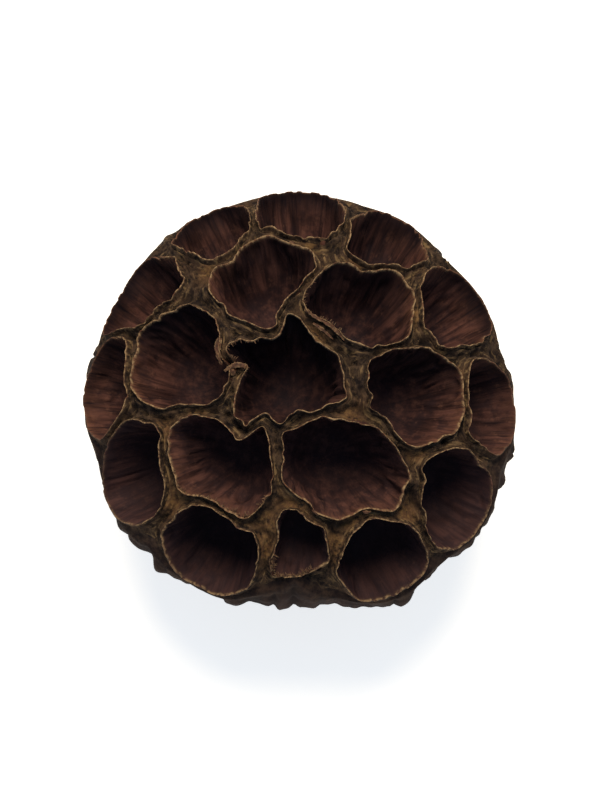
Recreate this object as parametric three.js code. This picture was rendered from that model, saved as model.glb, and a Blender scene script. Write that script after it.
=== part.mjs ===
// A dried lotus pod: one grown piece, a domed face with nineteen empty seed cells over a tapering
// wrinkled cup that is cut flat below. Millimetres, +Z up, origin in the middle of the cut.
import * as THREE from 'three';

// Pod body
const WIDEST_RADIUS = 45;
const WIDEST_HEIGHT = 38;
const DOME_HEIGHT = 24;
const FLANK_DROP = 16;
const FLANK_PULL = [27, 14];
const NECK_RADIUS = 9.6;
const NECK_HEIGHT = 3;
const CUT_RADIUS = 9;

// Radius of the pod's widest outline every ten degrees, anticlockwise from +X
const OUTLINE = [
  44.4, 43.4, 43.4, 43.5, 43.0, 43.6, 44.3, 44.0, 44.3, 45.0, 44.7, 44.4,
  44.8, 44.6, 44.1, 43.5, 43.6, 43.7, 44.9, 44.6, 44.0, 45.3, 45.6, 45.8,
  45.7, 45.8, 44.1, 44.4, 44.1, 46.9, 47.8, 46.2, 46.7, 46.2, 44.9, 45.2,
];
// Arc lengths from the top of the dome between which the outline takes over from the round dome,
// and below which it fades back to a round neck
const OUTLINE_STARTS = 30;
const OUTLINE_FULL = 55;
const OUTLINE_FADES = 62;

// Seed cells
const LIP_WIDTH = 0.9;
const LIP_HEIGHT = 1.5;
const LIP_SHARE_OF_GAP = 0.38;
const LIP_CREST_SHARE = 0.7;
const VALLEY_ENDS = [40, 52];
const EDGE_VALLEY_SHARE = 0.2;
const CELL_DEPTH_TO_WIDTH = 0.78;
const CELL_TAPER = 0.38;
const CELL_ROUNDING = 0.4;
const CELL_FLOOR_STARTS = 3.5;
const CELL_FLOOR_ROUND = 2.2;
const CELL_FOCUS_HEIGHT = 16;
const CELL_RINGS = [0, 0.22, 0.46, 0.68, 0.85, 0.95];
const MOUTH_POINTS = 28;

// Edge of the face, outside the outermost lips, and the outer wall's grid
const EDGE_MARGIN = 1.2;
const EDGE_ROUNDNESS = 12;
const WALL_INSET = 0.3;
const WALL_COLUMNS = 72;
const WALL_ROWS = 11;

// Torn partition between the middle cell and its left neighbour: middle on the flattened dome,
// half length along x, half width along y, and depth
const TEAR = { x: -13.9, y: 0.1, halfLength: 3, halfWidth: 0.9, depth: 5 };

// Mouths of the cells on the flattened dome, clockwise. A point's distance from the middle is its
// arc length from the top of the dome, and its direction is its bearing round the pod.
const MOUTHS = [
  // outer ring, clockwise from the top
  [[-9.6, 40.5], [-8.8, 45.5], [-5.2, 49.2], [0, 50.4], [4.8, 49.6], [8, 45.8], [9.5, 41.5], [9.8, 37.5],
    [9.1, 33.8], [7.6, 31], [5, 28.9], [2.3, 28.6], [-1.5, 29.6], [-5.5, 31.3], [-8.2, 33], [-9.3, 36.5]],
  [[11.1, 35.8], [14.2, 38.4], [18.2, 41.8], [22, 42], [26.2, 39.2], [27.8, 35.6], [27, 31.6], [27.8, 29],
    [27.4, 26.4], [25.2, 24.7], [22.2, 23.1], [18, 22.9], [14.8, 22.4], [12, 23.7], [10.1, 26], [10.1, 29],
    [10.8, 32]],
  [[25.3, 17.5], [26, 21.2], [29, 24.4], [33.5, 26.4], [38.6, 25.6], [41.6, 23.2], [44.2, 20.2],
    [45.4, 16.2], [42.8, 11.8], [39.8, 8.9], [36, 6.6], [32, 5.2], [29, 4.8], [27.2, 6.6], [25.4, 9.8],
    [25.2, 14]],
  [[35.1, -0.6], [36, 2.4], [38.6, 4.1], [42, 4.1], [46, 3], [48.8, 1.4], [50, -2], [50.4, -6],
    [49.8, -10.5], [47.8, -14], [44.2, -16.3], [40, -15.1], [37, -13.8], [35.6, -12], [35.4, -7],
    [35.1, -3.5]],
  [[25.4, -20.4], [28, -18], [32, -16.3], [35.4, -16.4], [38.2, -18.8], [41.4, -20.8], [43.2, -24.6],
    [44.6, -29], [43.6, -33.4], [41, -36.6], [37, -38.6], [33.5, -38.5], [30.2, -37.8], [28, -35],
    [26.4, -31.6], [25.4, -27.5], [25.5, -24]],
  [[10.4, -35.2], [12.2, -32.7], [16, -31.2], [20, -31.8], [23.4, -32.5], [25.4, -35.2], [27.4, -38.4],
    [28.6, -41], [29, -44.4], [26.6, -48.8], [22.4, -52.4], [17.5, -53.8], [14, -52], [11, -49],
    [9.6, -46], [8, -43.6], [8.6, -40.4], [9.6, -37.4]],
  [[-4.4, -32.2], [-2.8, -30.3], [0, -30.6], [2.4, -32.3], [4.8, -34.4], [5.5, -37.4], [6.2, -40],
    [4.8, -42], [1.4, -43.3], [-2.4, -44], [-5.2, -44.2], [-6.5, -42.6], [-5.6, -39.6], [-4.4, -36]],
  [[-29.8, -34.6], [-27.8, -32.1], [-24, -29.4], [-20.4, -28.8], [-16.8, -30.2], [-13.6, -32.6],
    [-10, -34.6], [-8.8, -38.4], [-9.7, -42], [-10.3, -45.2], [-12.4, -47.8], [-17, -51.2],
    [-21.5, -52.6], [-25.2, -51], [-28.4, -47.6], [-29.8, -44], [-29.6, -40]],
  [[-44, -16], [-41, -13], [-36.4, -10.4], [-32.6, -10.8], [-29.6, -12.2], [-28.8, -15], [-28.6, -20],
    [-28.1, -25], [-30, -29], [-34, -31.6], [-38.5, -31.8], [-43, -31.4], [-46.4, -29.2], [-48, -25.6],
    [-46.6, -21]],
  [[-45, 9.2], [-41.5, 9.8], [-38, 8.7], [-36.8, 6.4], [-36.7, 2], [-36.8, -1.8], [-36.1, -4.2],
    [-37.4, -7.6], [-40, -10.2], [-44, -12.6], [-47.6, -11.9], [-50.6, -9.4], [-51.8, -5], [-51.2, -0.4],
    [-49.6, 4], [-47.6, 7.2]],
  [[-34.8, 30.4], [-30.6, 28.6], [-27.2, 26.4], [-25, 23], [-24.1, 19.8], [-25, 17.4], [-28.4, 15.2],
    [-31.2, 13.2], [-33.4, 11.2], [-35.8, 10.6], [-39.8, 11.6], [-45, 12.7], [-47.6, 15.6], [-46.6, 20],
    [-44.2, 24.4], [-40.6, 28.4], [-38, 30.4]],
  [[-28.3, 32.4], [-27.8, 36], [-26.2, 40.2], [-23.4, 43.2], [-20, 44.8], [-15.4, 43.2], [-12, 40.2],
    [-11.4, 36], [-11, 32], [-12.4, 29.6], [-14, 26.4], [-16.4, 24.7], [-19, 24.1], [-21.6, 25.4],
    [-25, 28.5]],
  // inner ring, clockwise from the top
  [[-9.4, 28.1], [-6.5, 29], [-3.5, 27.2], [0, 25.8], [2.4, 24.5], [3.2, 22.5], [2.6, 19.8], [0.6, 17.6],
    [-1.6, 14.6], [-3.8, 11.2], [-4.8, 9], [-4.8, 7.4], [-6, 6.5], [-8, 7], [-11, 8.6], [-14.5, 10.2],
    [-15.6, 12.4], [-18.2, 15.6], [-18.2, 18.8], [-16.8, 21.6], [-13.6, 22.9], [-12.4, 25.4]],
  [[3.6, 18.2], [5.5, 19.8], [7.5, 21.4], [10.4, 21.5], [12.8, 19.8], [14.2, 19.8], [16.8, 21], [19, 21.1],
    [21.2, 19.5], [23, 16.5], [22.9, 11.5], [22.2, 7.4], [20.6, 4.9], [17.5, 4.1], [14.4, 3.2],
    [11.8, 2.9], [9.4, 4.4], [6.4, 7.8], [3.6, 9.5], [1.6, 10], [0.9, 12.8], [1.9, 15.6]],
  [[13.8, -0.5], [15.6, 0.9], [18, 2.5], [21.5, 3.1], [25.5, 3.9], [27.2, 2.9], [30.5, 1.8], [33, -0.6],
    [33.6, -4.5], [33.3, -8.7], [32.2, -12], [30.2, -13.8], [26, -15.6], [23.6, -16.9], [20.6, -15.6],
    [18.4, -13.4], [16.6, -11], [14.4, -9], [14.2, -6.8], [13.4, -3.5]],
  [[-2.9, -15], [-0.5, -13.8], [2.2, -12.6], [4.4, -11.6], [6.6, -11.5], [10, -12.4], [14.2, -13.6],
    [16.2, -14.4], [19, -17.4], [21.2, -20.8], [21.9, -23.6], [20.7, -27.4], [18.6, -29.4], [13.2, -29.1],
    [10, -30.6], [7.2, -31.5], [4.6, -30.8], [2.6, -29], [-0.6, -26.9], [-3.2, -24.4], [-3.4, -21.6],
    [-2.9, -18]],
  [[-24.6, -11.5], [-21.4, -10.4], [-18, -11.5], [-15.2, -12.7], [-13.2, -14.6], [-12.4, -15.9],
    [-10.8, -15.8], [-8.9, -14.5], [-7.4, -13.5], [-6.5, -15], [-6, -19], [-5.9, -24], [-6.3, -26.4],
    [-8.6, -28.8], [-11, -30.5], [-14.4, -29.6], [-16.6, -28.1], [-20, -26.8], [-24, -25.4],
    [-25.6, -22], [-26.3, -18], [-26.2, -13.8]],
  [[-35.3, -2], [-34.6, 2.6], [-33.6, 7.4], [-32.2, 9.6], [-29.5, 11.1], [-27, 12.5], [-23.6, 13.2],
    [-20, 11.8], [-17.4, 9.6], [-16.1, 6.4], [-16.4, 3], [-15.4, 0], [-14.4, -1.4], [-14.4, -3.6],
    [-15.2, -5.8], [-17.6, -8.2], [-20, -8.6], [-24.6, -8.1], [-28, -8.6], [-31, -7.2], [-33.8, -5]],
  // middle
  [[-2.5, 9.3], [-0.6, 9], [1.4, 6.2], [4.4, 3], [7.4, 0.6], [8.1, -2], [8.8, -5.8], [8.9, -7.8],
    [5.4, -8.9], [2.1, -10.6], [-1, -10.4], [-3.6, -12.4], [-5.2, -12], [-6.8, -10.9], [-9.4, -12.2],
    [-10.8, -13.2], [-12.6, -10.4], [-12.9, -8.4], [-11.6, -4.4], [-10.4, -1.4], [-12.6, 0.2],
    [-14.3, 2.5], [-12.2, 4.4], [-9, 4.4], [-5.6, 4.1], [-3.4, 6.2]],
];

const { smoothstep, lerp } = THREE.MathUtils;

// The pod's profile in (radius, height), from the top of the dome down to the cut: a quarter
// ellipse, a curve drawing in to the neck, and a short neck.
const dome = new THREE.EllipseCurve(0, WIDEST_HEIGHT, WIDEST_RADIUS, DOME_HEIGHT, Math.PI / 2, 0, true);
const flank = new THREE.CubicBezierCurve(
  new THREE.Vector2(WIDEST_RADIUS, WIDEST_HEIGHT),
  new THREE.Vector2(WIDEST_RADIUS, WIDEST_HEIGHT - FLANK_DROP),
  new THREE.Vector2(...FLANK_PULL),
  new THREE.Vector2(NECK_RADIUS, NECK_HEIGHT),
);
const neck = new THREE.LineCurve(
  new THREE.Vector2(NECK_RADIUS, NECK_HEIGHT),
  new THREE.Vector2(CUT_RADIUS, 0),
);
const profile = new THREE.CurvePath();
profile.add(dome);
profile.add(flank);
profile.add(neck);
const PROFILE_LENGTH = profile.getLength();

// The outline's radius at a bearing, on a smooth closed curve through the listed radii.
function outlineRadius(bearing) {
  const count = OUTLINE.length;
  const turn = THREE.MathUtils.euclideanModulo(bearing / (2 * Math.PI), 1) * count;
  const i = Math.floor(turn);
  const t = turn - i;
  const [a, b, c, d] = [i + count - 1, i, i + 1, i + 2].map((k) => OUTLINE[k % count]);
  return b + 0.5 * t * (c - a + t * (2 * a - 5 * b + 4 * c - d + t * (3 * (b - c) + d - a)));
}

// Wraps a point of the flattened dome onto the pod, raised by lift along the profile's normal.
function wrap(x, y, lift = 0) {
  const arc = Math.min(Math.hypot(x, y), PROFILE_LENGTH);
  const bearing = Math.atan2(y, x);
  const at = profile.getPoint(arc / PROFILE_LENGTH);
  const along = profile.getTangent(arc / PROFILE_LENGTH);
  const share = smoothstep(arc, OUTLINE_STARTS, OUTLINE_FULL)
    * (1 - smoothstep(arc, OUTLINE_FADES, PROFILE_LENGTH));
  const stretch = lerp(1, outlineRadius(bearing) / WIDEST_RADIUS, share);
  const radius = (at.x - along.y * lift) * stretch;
  return new THREE.Vector3(
    radius * Math.cos(bearing),
    radius * Math.sin(bearing),
    at.y + along.x * lift,
  );
}

// How far the torn partition is broken down at a point of the flattened dome.
function tornDepth(x, y) {
  const along = (x - TEAR.x) / TEAR.halfLength;
  const across = (y - TEAR.y) / TEAR.halfWidth;
  return TEAR.depth * Math.exp(-(along ** 4) - across ** 2);
}

// How deep the web lies below the lips: shallow near the pod's edge, where lip and wall are one.
function valleyDepth(x, y) {
  const edge = smoothstep(Math.hypot(x, y), ...VALLEY_ENDS);
  return LIP_HEIGHT * lerp(1, EDGE_VALLEY_SHARE, edge);
}

// A mouth's outline as points on a closed curve through the listed ones.
function mouthLoop(listed) {
  const points = listed.map(([x, y]) => new THREE.Vector3(x, y, 0));
  const curve = new THREE.CatmullRomCurve3(points, true, 'catmullrom');
  const parts = Math.max(1, Math.round(MOUTH_POINTS / listed.length));
  return curve.getPoints(listed.length * parts).slice(0, -1);
}

const mouths = MOUTHS.map(mouthLoop);

// Each lip grows outwards from its mouth, as wide as the gap to the next mouth leaves room for.
function lipLoop(mouth) {
  const others = mouths.filter((other) => other !== mouth).flat();
  return mouth.map((point, i) => {
    const before = mouth.at(i - 1);
    const after = mouth[(i + 1) % mouth.length];
    const outward = new THREE.Vector3(before.y - after.y, after.x - before.x, 0).normalize();
    const gap = Math.min(...others.map((other) => other.distanceTo(point)));
    return point.clone().addScaledVector(outward, Math.min(LIP_WIDTH, LIP_SHARE_OF_GAP * gap));
  });
}

const lips = mouths.map(lipLoop);

// Arc length of the face's edge at a bearing: a scalloped line just outside the outermost lips.
function edgeArc(bearing) {
  const reach = lips.flat().map((point) => {
    const arc = Math.hypot(point.x, point.y);
    const turn = Math.atan2(point.y, point.x) - bearing;
    const aside = arc * Math.atan2(Math.sin(turn), Math.cos(turn));
    return arc - aside ** 2 / (2 * EDGE_ROUNDNESS);
  });
  return Math.max(...reach) + EDGE_MARGIN;
}

// The solid's skin, gathered as one list of corners and one of triangles
const corners = [];
const triangles = [];

// Adds a loop of points and gives back their numbers.
function addLoop(points) {
  const first = corners.length;
  corners.push(...points);
  return points.map((_, i) => first + i);
}

// Joins two loops of equal length by a band of triangles.
function addBand(upper, lower) {
  for (let i = 0; i < upper.length; i += 1) {
    const next = (i + 1) % upper.length;
    triangles.push(upper[i], lower[i], upper[next]);
    triangles.push(lower[i], lower[next], upper[next]);
  }
}

// Closes a loop with a fan of triangles to one point.
function addFan(loop, point) {
  const [tip] = addLoop([point]);
  for (let i = 0; i < loop.length; i += 1) {
    triangles.push(tip, loop[(i + 1) % loop.length], loop[i]);
  }
}

// One seed cell: a lip standing up from the web, and a cup that narrows towards a focus on the pod's
// axis and closes in a round floor. Gives back the loop where the lip meets the web.
function addCell(mouth, lip) {
  const rim = mouth.map((point) => wrap(point.x, point.y));
  const middle = rim.reduce((sum, point) => sum.add(point), new THREE.Vector3()).divideScalar(rim.length);
  const inward = new THREE.Vector3(0, 0, CELL_FOCUS_HEIGHT).sub(middle).normalize();
  const reach = rim.map((point) => {
    const arm = point.clone().sub(middle);
    const along = arm.dot(inward);
    return { along, side: arm.addScaledVector(inward, -along) };
  });
  const meanRadius = reach.reduce((sum, { side }) => sum + side.length(), 0) / reach.length;
  const depth = CELL_DEPTH_TO_WIDTH * 2 * meanRadius;

  const cupPoint = (i, down) => {
    const { along, side } = reach[i];
    const closing = (1 - CELL_TAPER * down) * (1 - down ** CELL_FLOOR_STARTS) ** (1 / CELL_FLOOR_ROUND);
    const rounded = lerp(side.length(), meanRadius, CELL_ROUNDING * down ** 2);
    return middle.clone()
      .addScaledVector(inward, depth * down + along * (1 - down))
      .addScaledVector(side.clone().normalize(), rounded * closing);
  };

  const foot = addLoop(lip.map(({ x, y }) => wrap(x, y, -valleyDepth(x, y) - tornDepth(x, y))));
  const crest = addLoop(lip.map(({ x, y }, i) => {
    const inner = mouth[i];
    return wrap(
      lerp(inner.x, x, LIP_CREST_SHARE),
      lerp(inner.y, y, LIP_CREST_SHARE),
      -tornDepth(x, y),
    );
  }));
  addBand(foot, crest);
  let upper = crest;
  for (const ring of CELL_RINGS) {
    const lower = addLoop(mouth.map(({ x, y }, i) => {
      const torn = tornDepth(x, y) / depth;
      return cupPoint(i, lerp(torn, 1, ring));
    }));
    addBand(upper, lower);
    upper = lower;
  }
  addFan(upper, middle.clone().addScaledVector(inward, depth));
  return foot;
}

const feet = mouths.map((mouth, i) => addCell(mouth, lips[i]));

// The outer wall: rows of points from the face's edge down to the cut.
const bearings = Array.from({ length: WALL_COLUMNS }, (_, i) => (2 * Math.PI * i) / WALL_COLUMNS);
const edge = bearings.map((bearing) => {
  const arc = edgeArc(bearing);
  return new THREE.Vector2(arc * Math.cos(bearing), arc * Math.sin(bearing));
});
const wallRows = Array.from({ length: WALL_ROWS }, (_, row) => addLoop(edge.map((top) => {
  const arc = lerp(top.length(), PROFILE_LENGTH, row / (WALL_ROWS - 1));
  const at = top.clone().setLength(arc);
  return wrap(at.x, at.y, -WALL_INSET);
})));
for (let row = 1; row < WALL_ROWS; row += 1) {
  addBand(wallRows[row - 1], wallRows[row]);
}
for (const corner of wallRows.at(-1)) {
  corners[corner].z = 0;
}
addFan(wallRows.at(-1), new THREE.Vector3(0, 0, 0));

// The web: the flattened face between its edge and the feet of the lips, split into triangles.
const webCorners = [...wallRows[0], ...feet.flat()];
const webHoles = lips.map((lip) => lip.map(({ x, y }) => new THREE.Vector2(x, y)));
const webFaces = THREE.ShapeUtils.triangulateShape(edge, webHoles);
for (const face of webFaces) {
  triangles.push(...face.map((i) => webCorners[i]));
}

const geometry = new THREE.BufferGeometry();
geometry.setFromPoints(corners);
geometry.setIndex(triangles);
geometry.computeVertexNormals();

const material = new THREE.MeshStandardMaterial({ color: 0x4a3a30, roughness: 0.85, metalness: 0 });
const lotusPod = new THREE.Mesh(geometry, material);
lotusPod.name = 'lotus_pod';

const pod = new THREE.Group();
pod.add(lotusPod);

export default pod;
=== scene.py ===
"""The looks of a dried lotus pod: its seed cells with their thin lips, the pith between them, the wrinkled
outer wall and the cut below, as surfaces worked out with numpy on the main forms of the CAD solid."""
import math

import bpy
import numpy as np
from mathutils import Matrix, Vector
from mathutils.geometry import delaunay_2d_cdt


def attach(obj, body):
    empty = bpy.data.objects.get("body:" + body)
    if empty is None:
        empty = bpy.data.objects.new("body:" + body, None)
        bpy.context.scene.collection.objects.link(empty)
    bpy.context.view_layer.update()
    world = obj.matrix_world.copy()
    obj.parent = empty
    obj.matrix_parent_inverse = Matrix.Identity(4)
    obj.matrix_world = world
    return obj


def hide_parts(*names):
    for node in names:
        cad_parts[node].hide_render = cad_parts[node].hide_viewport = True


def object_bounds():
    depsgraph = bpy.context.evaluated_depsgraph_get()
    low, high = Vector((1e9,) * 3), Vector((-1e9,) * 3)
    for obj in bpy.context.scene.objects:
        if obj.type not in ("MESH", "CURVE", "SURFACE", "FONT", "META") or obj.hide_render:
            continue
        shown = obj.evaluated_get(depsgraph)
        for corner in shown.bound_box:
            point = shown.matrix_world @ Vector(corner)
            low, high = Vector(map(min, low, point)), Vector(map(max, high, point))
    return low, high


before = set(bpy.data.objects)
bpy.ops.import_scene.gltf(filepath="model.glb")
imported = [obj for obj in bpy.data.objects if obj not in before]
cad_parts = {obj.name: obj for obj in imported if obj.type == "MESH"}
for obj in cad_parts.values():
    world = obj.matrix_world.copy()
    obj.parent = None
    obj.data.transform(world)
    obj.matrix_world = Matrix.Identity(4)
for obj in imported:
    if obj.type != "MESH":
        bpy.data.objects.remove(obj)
cad_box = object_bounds()

# Lengths below are in millimetres, as the pod is measured. MM turns them into Blender's metres.
MM = 0.001

# Pod body, as in the CAD solid
WIDEST_RADIUS = 45.0
WIDEST_HEIGHT = 38.0
DOME_HEIGHT = 24.0
FLANK_DROP = 16.0
FLANK_PULL = (27.0, 14.0)
NECK_RADIUS = 9.6
NECK_HEIGHT = 3.0
CUT_RADIUS = 9.0

# Radius of the pod's widest outline every ten degrees, anticlockwise from +X
OUTLINE = np.array([
    44.4, 43.4, 43.4, 43.5, 43.0, 43.6, 44.3, 44.0, 44.3, 45.0, 44.7, 44.4,
    44.8, 44.6, 44.1, 43.5, 43.6, 43.7, 44.9, 44.6, 44.0, 45.3, 45.6, 45.8,
    45.7, 45.8, 44.1, 44.4, 44.1, 46.9, 47.8, 46.2, 46.7, 46.2, 44.9, 45.2,
])
# Arc lengths from the top of the dome between which the outline takes over, and where it fades out
OUTLINE_STARTS = 30.0
OUTLINE_FULL = 55.0
OUTLINE_FADES = 62.0

# Seed cells, with thinner lips and steeper, fuller cups than in the CAD solid
LIP_WIDTH = 0.55
LIP_HEIGHT = 1.5
LIP_SHARE_OF_GAP = 0.3
VALLEY_ENDS = (40.0, 52.0)
EDGE_VALLEY_SHARE = 0.2
CELL_DEPTH_TO_WIDTH = 0.78
CELL_TAPER = 0.26
CELL_ROUNDING = 0.4
CELL_FLOOR_STARTS = 4.5
CELL_FLOOR_ROUND = 2.2
CELL_FOCUS_HEIGHT = 16.0
EDGE_MARGIN = 1.2
EDGE_ROUNDNESS = 12.0
WALL_INSET = 0.3
# The cell with the thinnest partition, which narrows more to stay clear of its neighbour
THIN_WALL_CELL = 7
THIN_WALL_TAPER = 0.36

# Torn partition between the middle cell and its left neighbour
TEAR_MIDDLE = (-13.9, 0.1)
TEAR_HALF = (3.0, 0.9)
TEAR_DEPTH = 5.0

# Mouths of the cells on the flattened dome, clockwise. A point's distance from the middle is its
# arc length from the top of the dome, and its direction is its bearing round the pod. The lower edges of
# three lower outer mouths lie further up the dome than in the CAD solid.
MOUTHS = [
    # outer ring, clockwise from the top
    [[-9.6, 40.5], [-8.8, 45.5], [-5.2, 49.2], [0, 50.4], [4.8, 49.6], [8, 45.8], [9.5, 41.5], [9.8, 37.5],
      [9.1, 33.8], [7.6, 31], [5, 28.9], [2.3, 28.6], [-1.5, 29.6], [-5.5, 31.3], [-8.2, 33], [-9.3, 36.5]],
    [[11.1, 35.8], [14.2, 38.4], [18.2, 41.8], [22, 42], [26.2, 39.2], [27.8, 35.6], [27, 31.6], [27.8, 29],
      [27.4, 26.4], [25.2, 24.7], [22.2, 23.1], [18, 22.9], [14.8, 22.4], [12, 23.7], [10.1, 26],
      [10.1, 29], [10.8, 32]],
    [[25.3, 17.5], [26, 21.2], [29, 24.4], [33.5, 26.4], [38.6, 25.6], [41.6, 23.2], [44.2, 20.2],
      [45.4, 16.2], [42.8, 11.8], [39.8, 8.9], [36, 6.6], [32, 5.2], [29, 4.8], [27.2, 6.6], [25.4, 9.8],
      [25.2, 14]],
    [[35.1, -0.6], [36, 2.4], [38.6, 4.1], [42, 4.1], [46, 3], [48.8, 1.4], [50, -2], [50.4, -6],
      [49.8, -10.5], [47.8, -14], [44.2, -16.3], [40, -15.1], [37, -13.8], [35.6, -12], [35.4, -7],
      [35.1, -3.5]],
    [[25.4, -20.4], [28, -18], [32, -16.3], [35.4, -16.4], [38.2, -18.8], [41.2, -20.8], [42.4, -24.6],
      [42.4, -28.8], [40.4, -32.2], [38.4, -34.8], [35.8, -37], [33, -37.6], [30.2, -37], [28, -35],
      [26.4, -31.6], [25.4, -27.5], [25.5, -24]],
    [[10.4, -35.2], [12.2, -32.7], [16, -31.2], [20, -31.8], [23.4, -32.5], [25.4, -35.2], [27, -38.1],
      [27, -40.2], [25.6, -42.4], [22.8, -44.8], [19.6, -47.8], [16.4, -49.6], [13.8, -50.4], [11.4, -48.6],
      [9.6, -46], [8, -43.6], [8.6, -40.4], [9.6, -37.4]],
    [[-4.4, -32.2], [-2.8, -30.3], [0, -30.6], [2.4, -32.3], [4.8, -34.4], [5.5, -37.4], [6.2, -40],
      [4.8, -42], [1.4, -43.3], [-2.4, -44], [-5.2, -44.2], [-6.5, -42.6], [-5.6, -39.6], [-4.4, -36]],
    [[-29.8, -34.6], [-27.8, -32.1], [-24, -29.4], [-20.4, -28.8], [-16.8, -30.2], [-13.6, -32.6],
      [-10, -34.6], [-8.8, -38.4], [-9.7, -42], [-10.3, -45.2], [-12.4, -47.6], [-15.8, -48.6],
      [-19.2, -48.8], [-22.8, -47.4], [-26.4, -45.6], [-28.6, -43.2], [-29.4, -39.6]],
    [[-44, -16], [-41, -13], [-36.4, -10.4], [-32.6, -10.8], [-29.6, -12.2], [-28.8, -15], [-28.6, -20],
      [-28.1, -25], [-30, -29], [-34, -31.6], [-38.5, -31.8], [-43, -31.4], [-46.4, -29.2], [-48, -25.6],
      [-46.6, -21]],
    [[-45, 9.2], [-41.5, 9.8], [-38, 8.7], [-36.8, 6.4], [-36.7, 2], [-36.8, -1.8], [-36.1, -4.2],
      [-37.4, -7.6], [-40, -10.2], [-44, -12.6], [-47.6, -11.9], [-50.6, -9.4], [-51.8, -5], [-51.2, -0.4],
      [-49.6, 4], [-47.6, 7.2]],
    [[-34.8, 30.4], [-30.6, 28.6], [-27.2, 26.4], [-25, 23], [-24.1, 19.8], [-25, 17.4], [-28.4, 15.2],
      [-31.2, 13.2], [-33.4, 11.2], [-35.8, 10.6], [-39.8, 11.6], [-45, 12.7], [-47.6, 15.6], [-46.6, 20],
      [-44.2, 24.4], [-40.6, 28.4], [-38, 30.4]],
    [[-28.3, 32.4], [-27.8, 36], [-26.2, 40.2], [-23.4, 43.2], [-20, 44.8], [-15.4, 43.2], [-12, 40.2],
      [-11.4, 36], [-11, 32], [-12.4, 29.6], [-14, 26.4], [-16.4, 24.7], [-19, 24.1], [-21.6, 25.4],
      [-25, 28.5]],
    # inner ring, clockwise from the top
    [[-9.4, 28.1], [-6.5, 29], [-3.5, 27.2], [0, 25.8], [2.4, 24.5], [3.2, 22.5], [2.6, 19.8], [0.6, 17.6],
      [-1.6, 14.6], [-3.8, 11.2], [-4.8, 9], [-4.8, 7.4], [-6, 6.5], [-8, 7], [-11, 8.6], [-14.5, 10.2],
      [-15.6, 12.4], [-18.2, 15.6], [-18.2, 18.8], [-16.8, 21.6], [-13.6, 22.9], [-12.4, 25.4]],
    [[3.6, 18.2], [5.5, 19.8], [7.5, 21.4], [10.4, 21.5], [12.8, 19.8], [14.2, 19.8], [16.8, 21],
      [19, 21.1], [21.2, 19.5], [23, 16.5], [22.9, 11.5], [22.2, 7.4], [20.6, 4.9], [17.5, 4.1],
      [14.4, 3.2], [11.8, 2.9], [9.4, 4.4], [6.4, 7.8], [3.6, 9.5], [1.6, 10], [0.9, 12.8], [1.9, 15.6]],
    [[13.8, -0.5], [15.6, 0.9], [18, 2.5], [21.5, 3.1], [25.5, 3.9], [27.2, 2.9], [30.5, 1.8], [33, -0.6],
      [33.6, -4.5], [33.3, -8.7], [32.2, -12], [30.2, -13.8], [26, -15.6], [23.6, -16.9], [20.6, -15.6],
      [18.4, -13.4], [16.6, -11], [14.4, -9], [14.2, -6.8], [13.4, -3.5]],
    [[-2.9, -15], [-0.5, -13.8], [2.2, -12.6], [4.4, -11.6], [6.6, -11.5], [10, -12.4], [14.2, -13.6],
      [16.2, -14.4], [19, -17.4], [21.2, -20.8], [21.9, -23.6], [20.7, -27.4], [18.6, -29.4], [13.2, -29.1],
      [10, -30.6], [7.2, -31.5], [4.6, -30.8], [2.6, -29], [-0.6, -26.9], [-3.2, -24.4], [-3.4, -21.6],
      [-2.9, -18]],
    [[-24.6, -11.5], [-21.4, -10.4], [-18, -11.5], [-15.2, -12.7], [-13.2, -14.6], [-12.4, -15.9],
      [-10.8, -15.8], [-8.9, -14.5], [-7.4, -13.5], [-6.5, -15], [-6, -19], [-5.9, -24], [-6.3, -26.4],
      [-8.6, -28.8], [-11, -30.5], [-14.4, -29.6], [-16.6, -28.1], [-20, -26.8], [-24, -25.4],
      [-25.6, -22], [-26.3, -18], [-26.2, -13.8]],
    [[-35.3, -2], [-34.6, 2.6], [-33.6, 7.4], [-32.2, 9.6], [-29.5, 11.1], [-27, 12.5], [-23.6, 13.2],
      [-20, 11.8], [-17.4, 9.6], [-16.1, 6.4], [-16.4, 3], [-15.4, 0], [-14.4, -1.4], [-14.4, -3.6],
      [-15.2, -5.8], [-17.6, -8.2], [-20, -8.6], [-24.6, -8.1], [-28, -8.6], [-31, -7.2], [-33.8, -5]],
    # middle cell
    [[-2.5, 9.3], [-0.6, 9], [1.4, 6.2], [4.4, 3], [7.4, 0.6], [8.1, -2], [8.8, -5.8], [8.9, -7.8],
      [5.4, -8.9], [2.1, -10.6], [-1, -10.4], [-3.6, -12.4], [-5.2, -12], [-6.8, -10.9], [-9.4, -12.2],
      [-10.8, -13.2], [-12.6, -10.4], [-12.9, -8.4], [-11.6, -4.4], [-10.4, -1.4], [-12.6, 0.2],
      [-14.3, 2.5], [-12.2, 4.4], [-9, 4.4], [-5.6, 4.1], [-3.4, 6.2]],
]

# Patches of ochre pith on the flattened dome: x, y and radius
OCHRE = np.array([
    [24.0, 12.0, 2.8], [3.0, 5.5, 2.4], [22.5, -30.5, 2.8], [-28.0, -12.0, 2.4], [10.5, -11.0, 2.6],
    [7.3, -38.0, 4.0], [-7.6, -38.0, 4.6], [-1.5, -29.2, 3.2], [11.0, -32.0, 3.2], [-27.0, -28.0, 3.8],
    [-12.5, -31.5, 3.0], [2.0, 26.8, 2.0], [-20.0, 22.6, 2.2], [34.3, -1.5, 2.2], [-21.0, -9.6, 2.2],
    [24.0, -18.0, 2.0], [-7.0, -33.0, 3.0], [11.5, 23.0, 1.8],
])

# Painted shade of each cell's lining: how much darker it is painted than the lightest, in the order of the
# mouths
CELL_SHADE = (
    0.0, 0.1, 0.0, 0.15, 0.3, 0.45, 0.45, 0.45, 0.2, 0.15, 0.05, 0.0,
    0.0, 0.1, 0.2, 0.15, 0.15, 0.2, 0.45,
)
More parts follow.
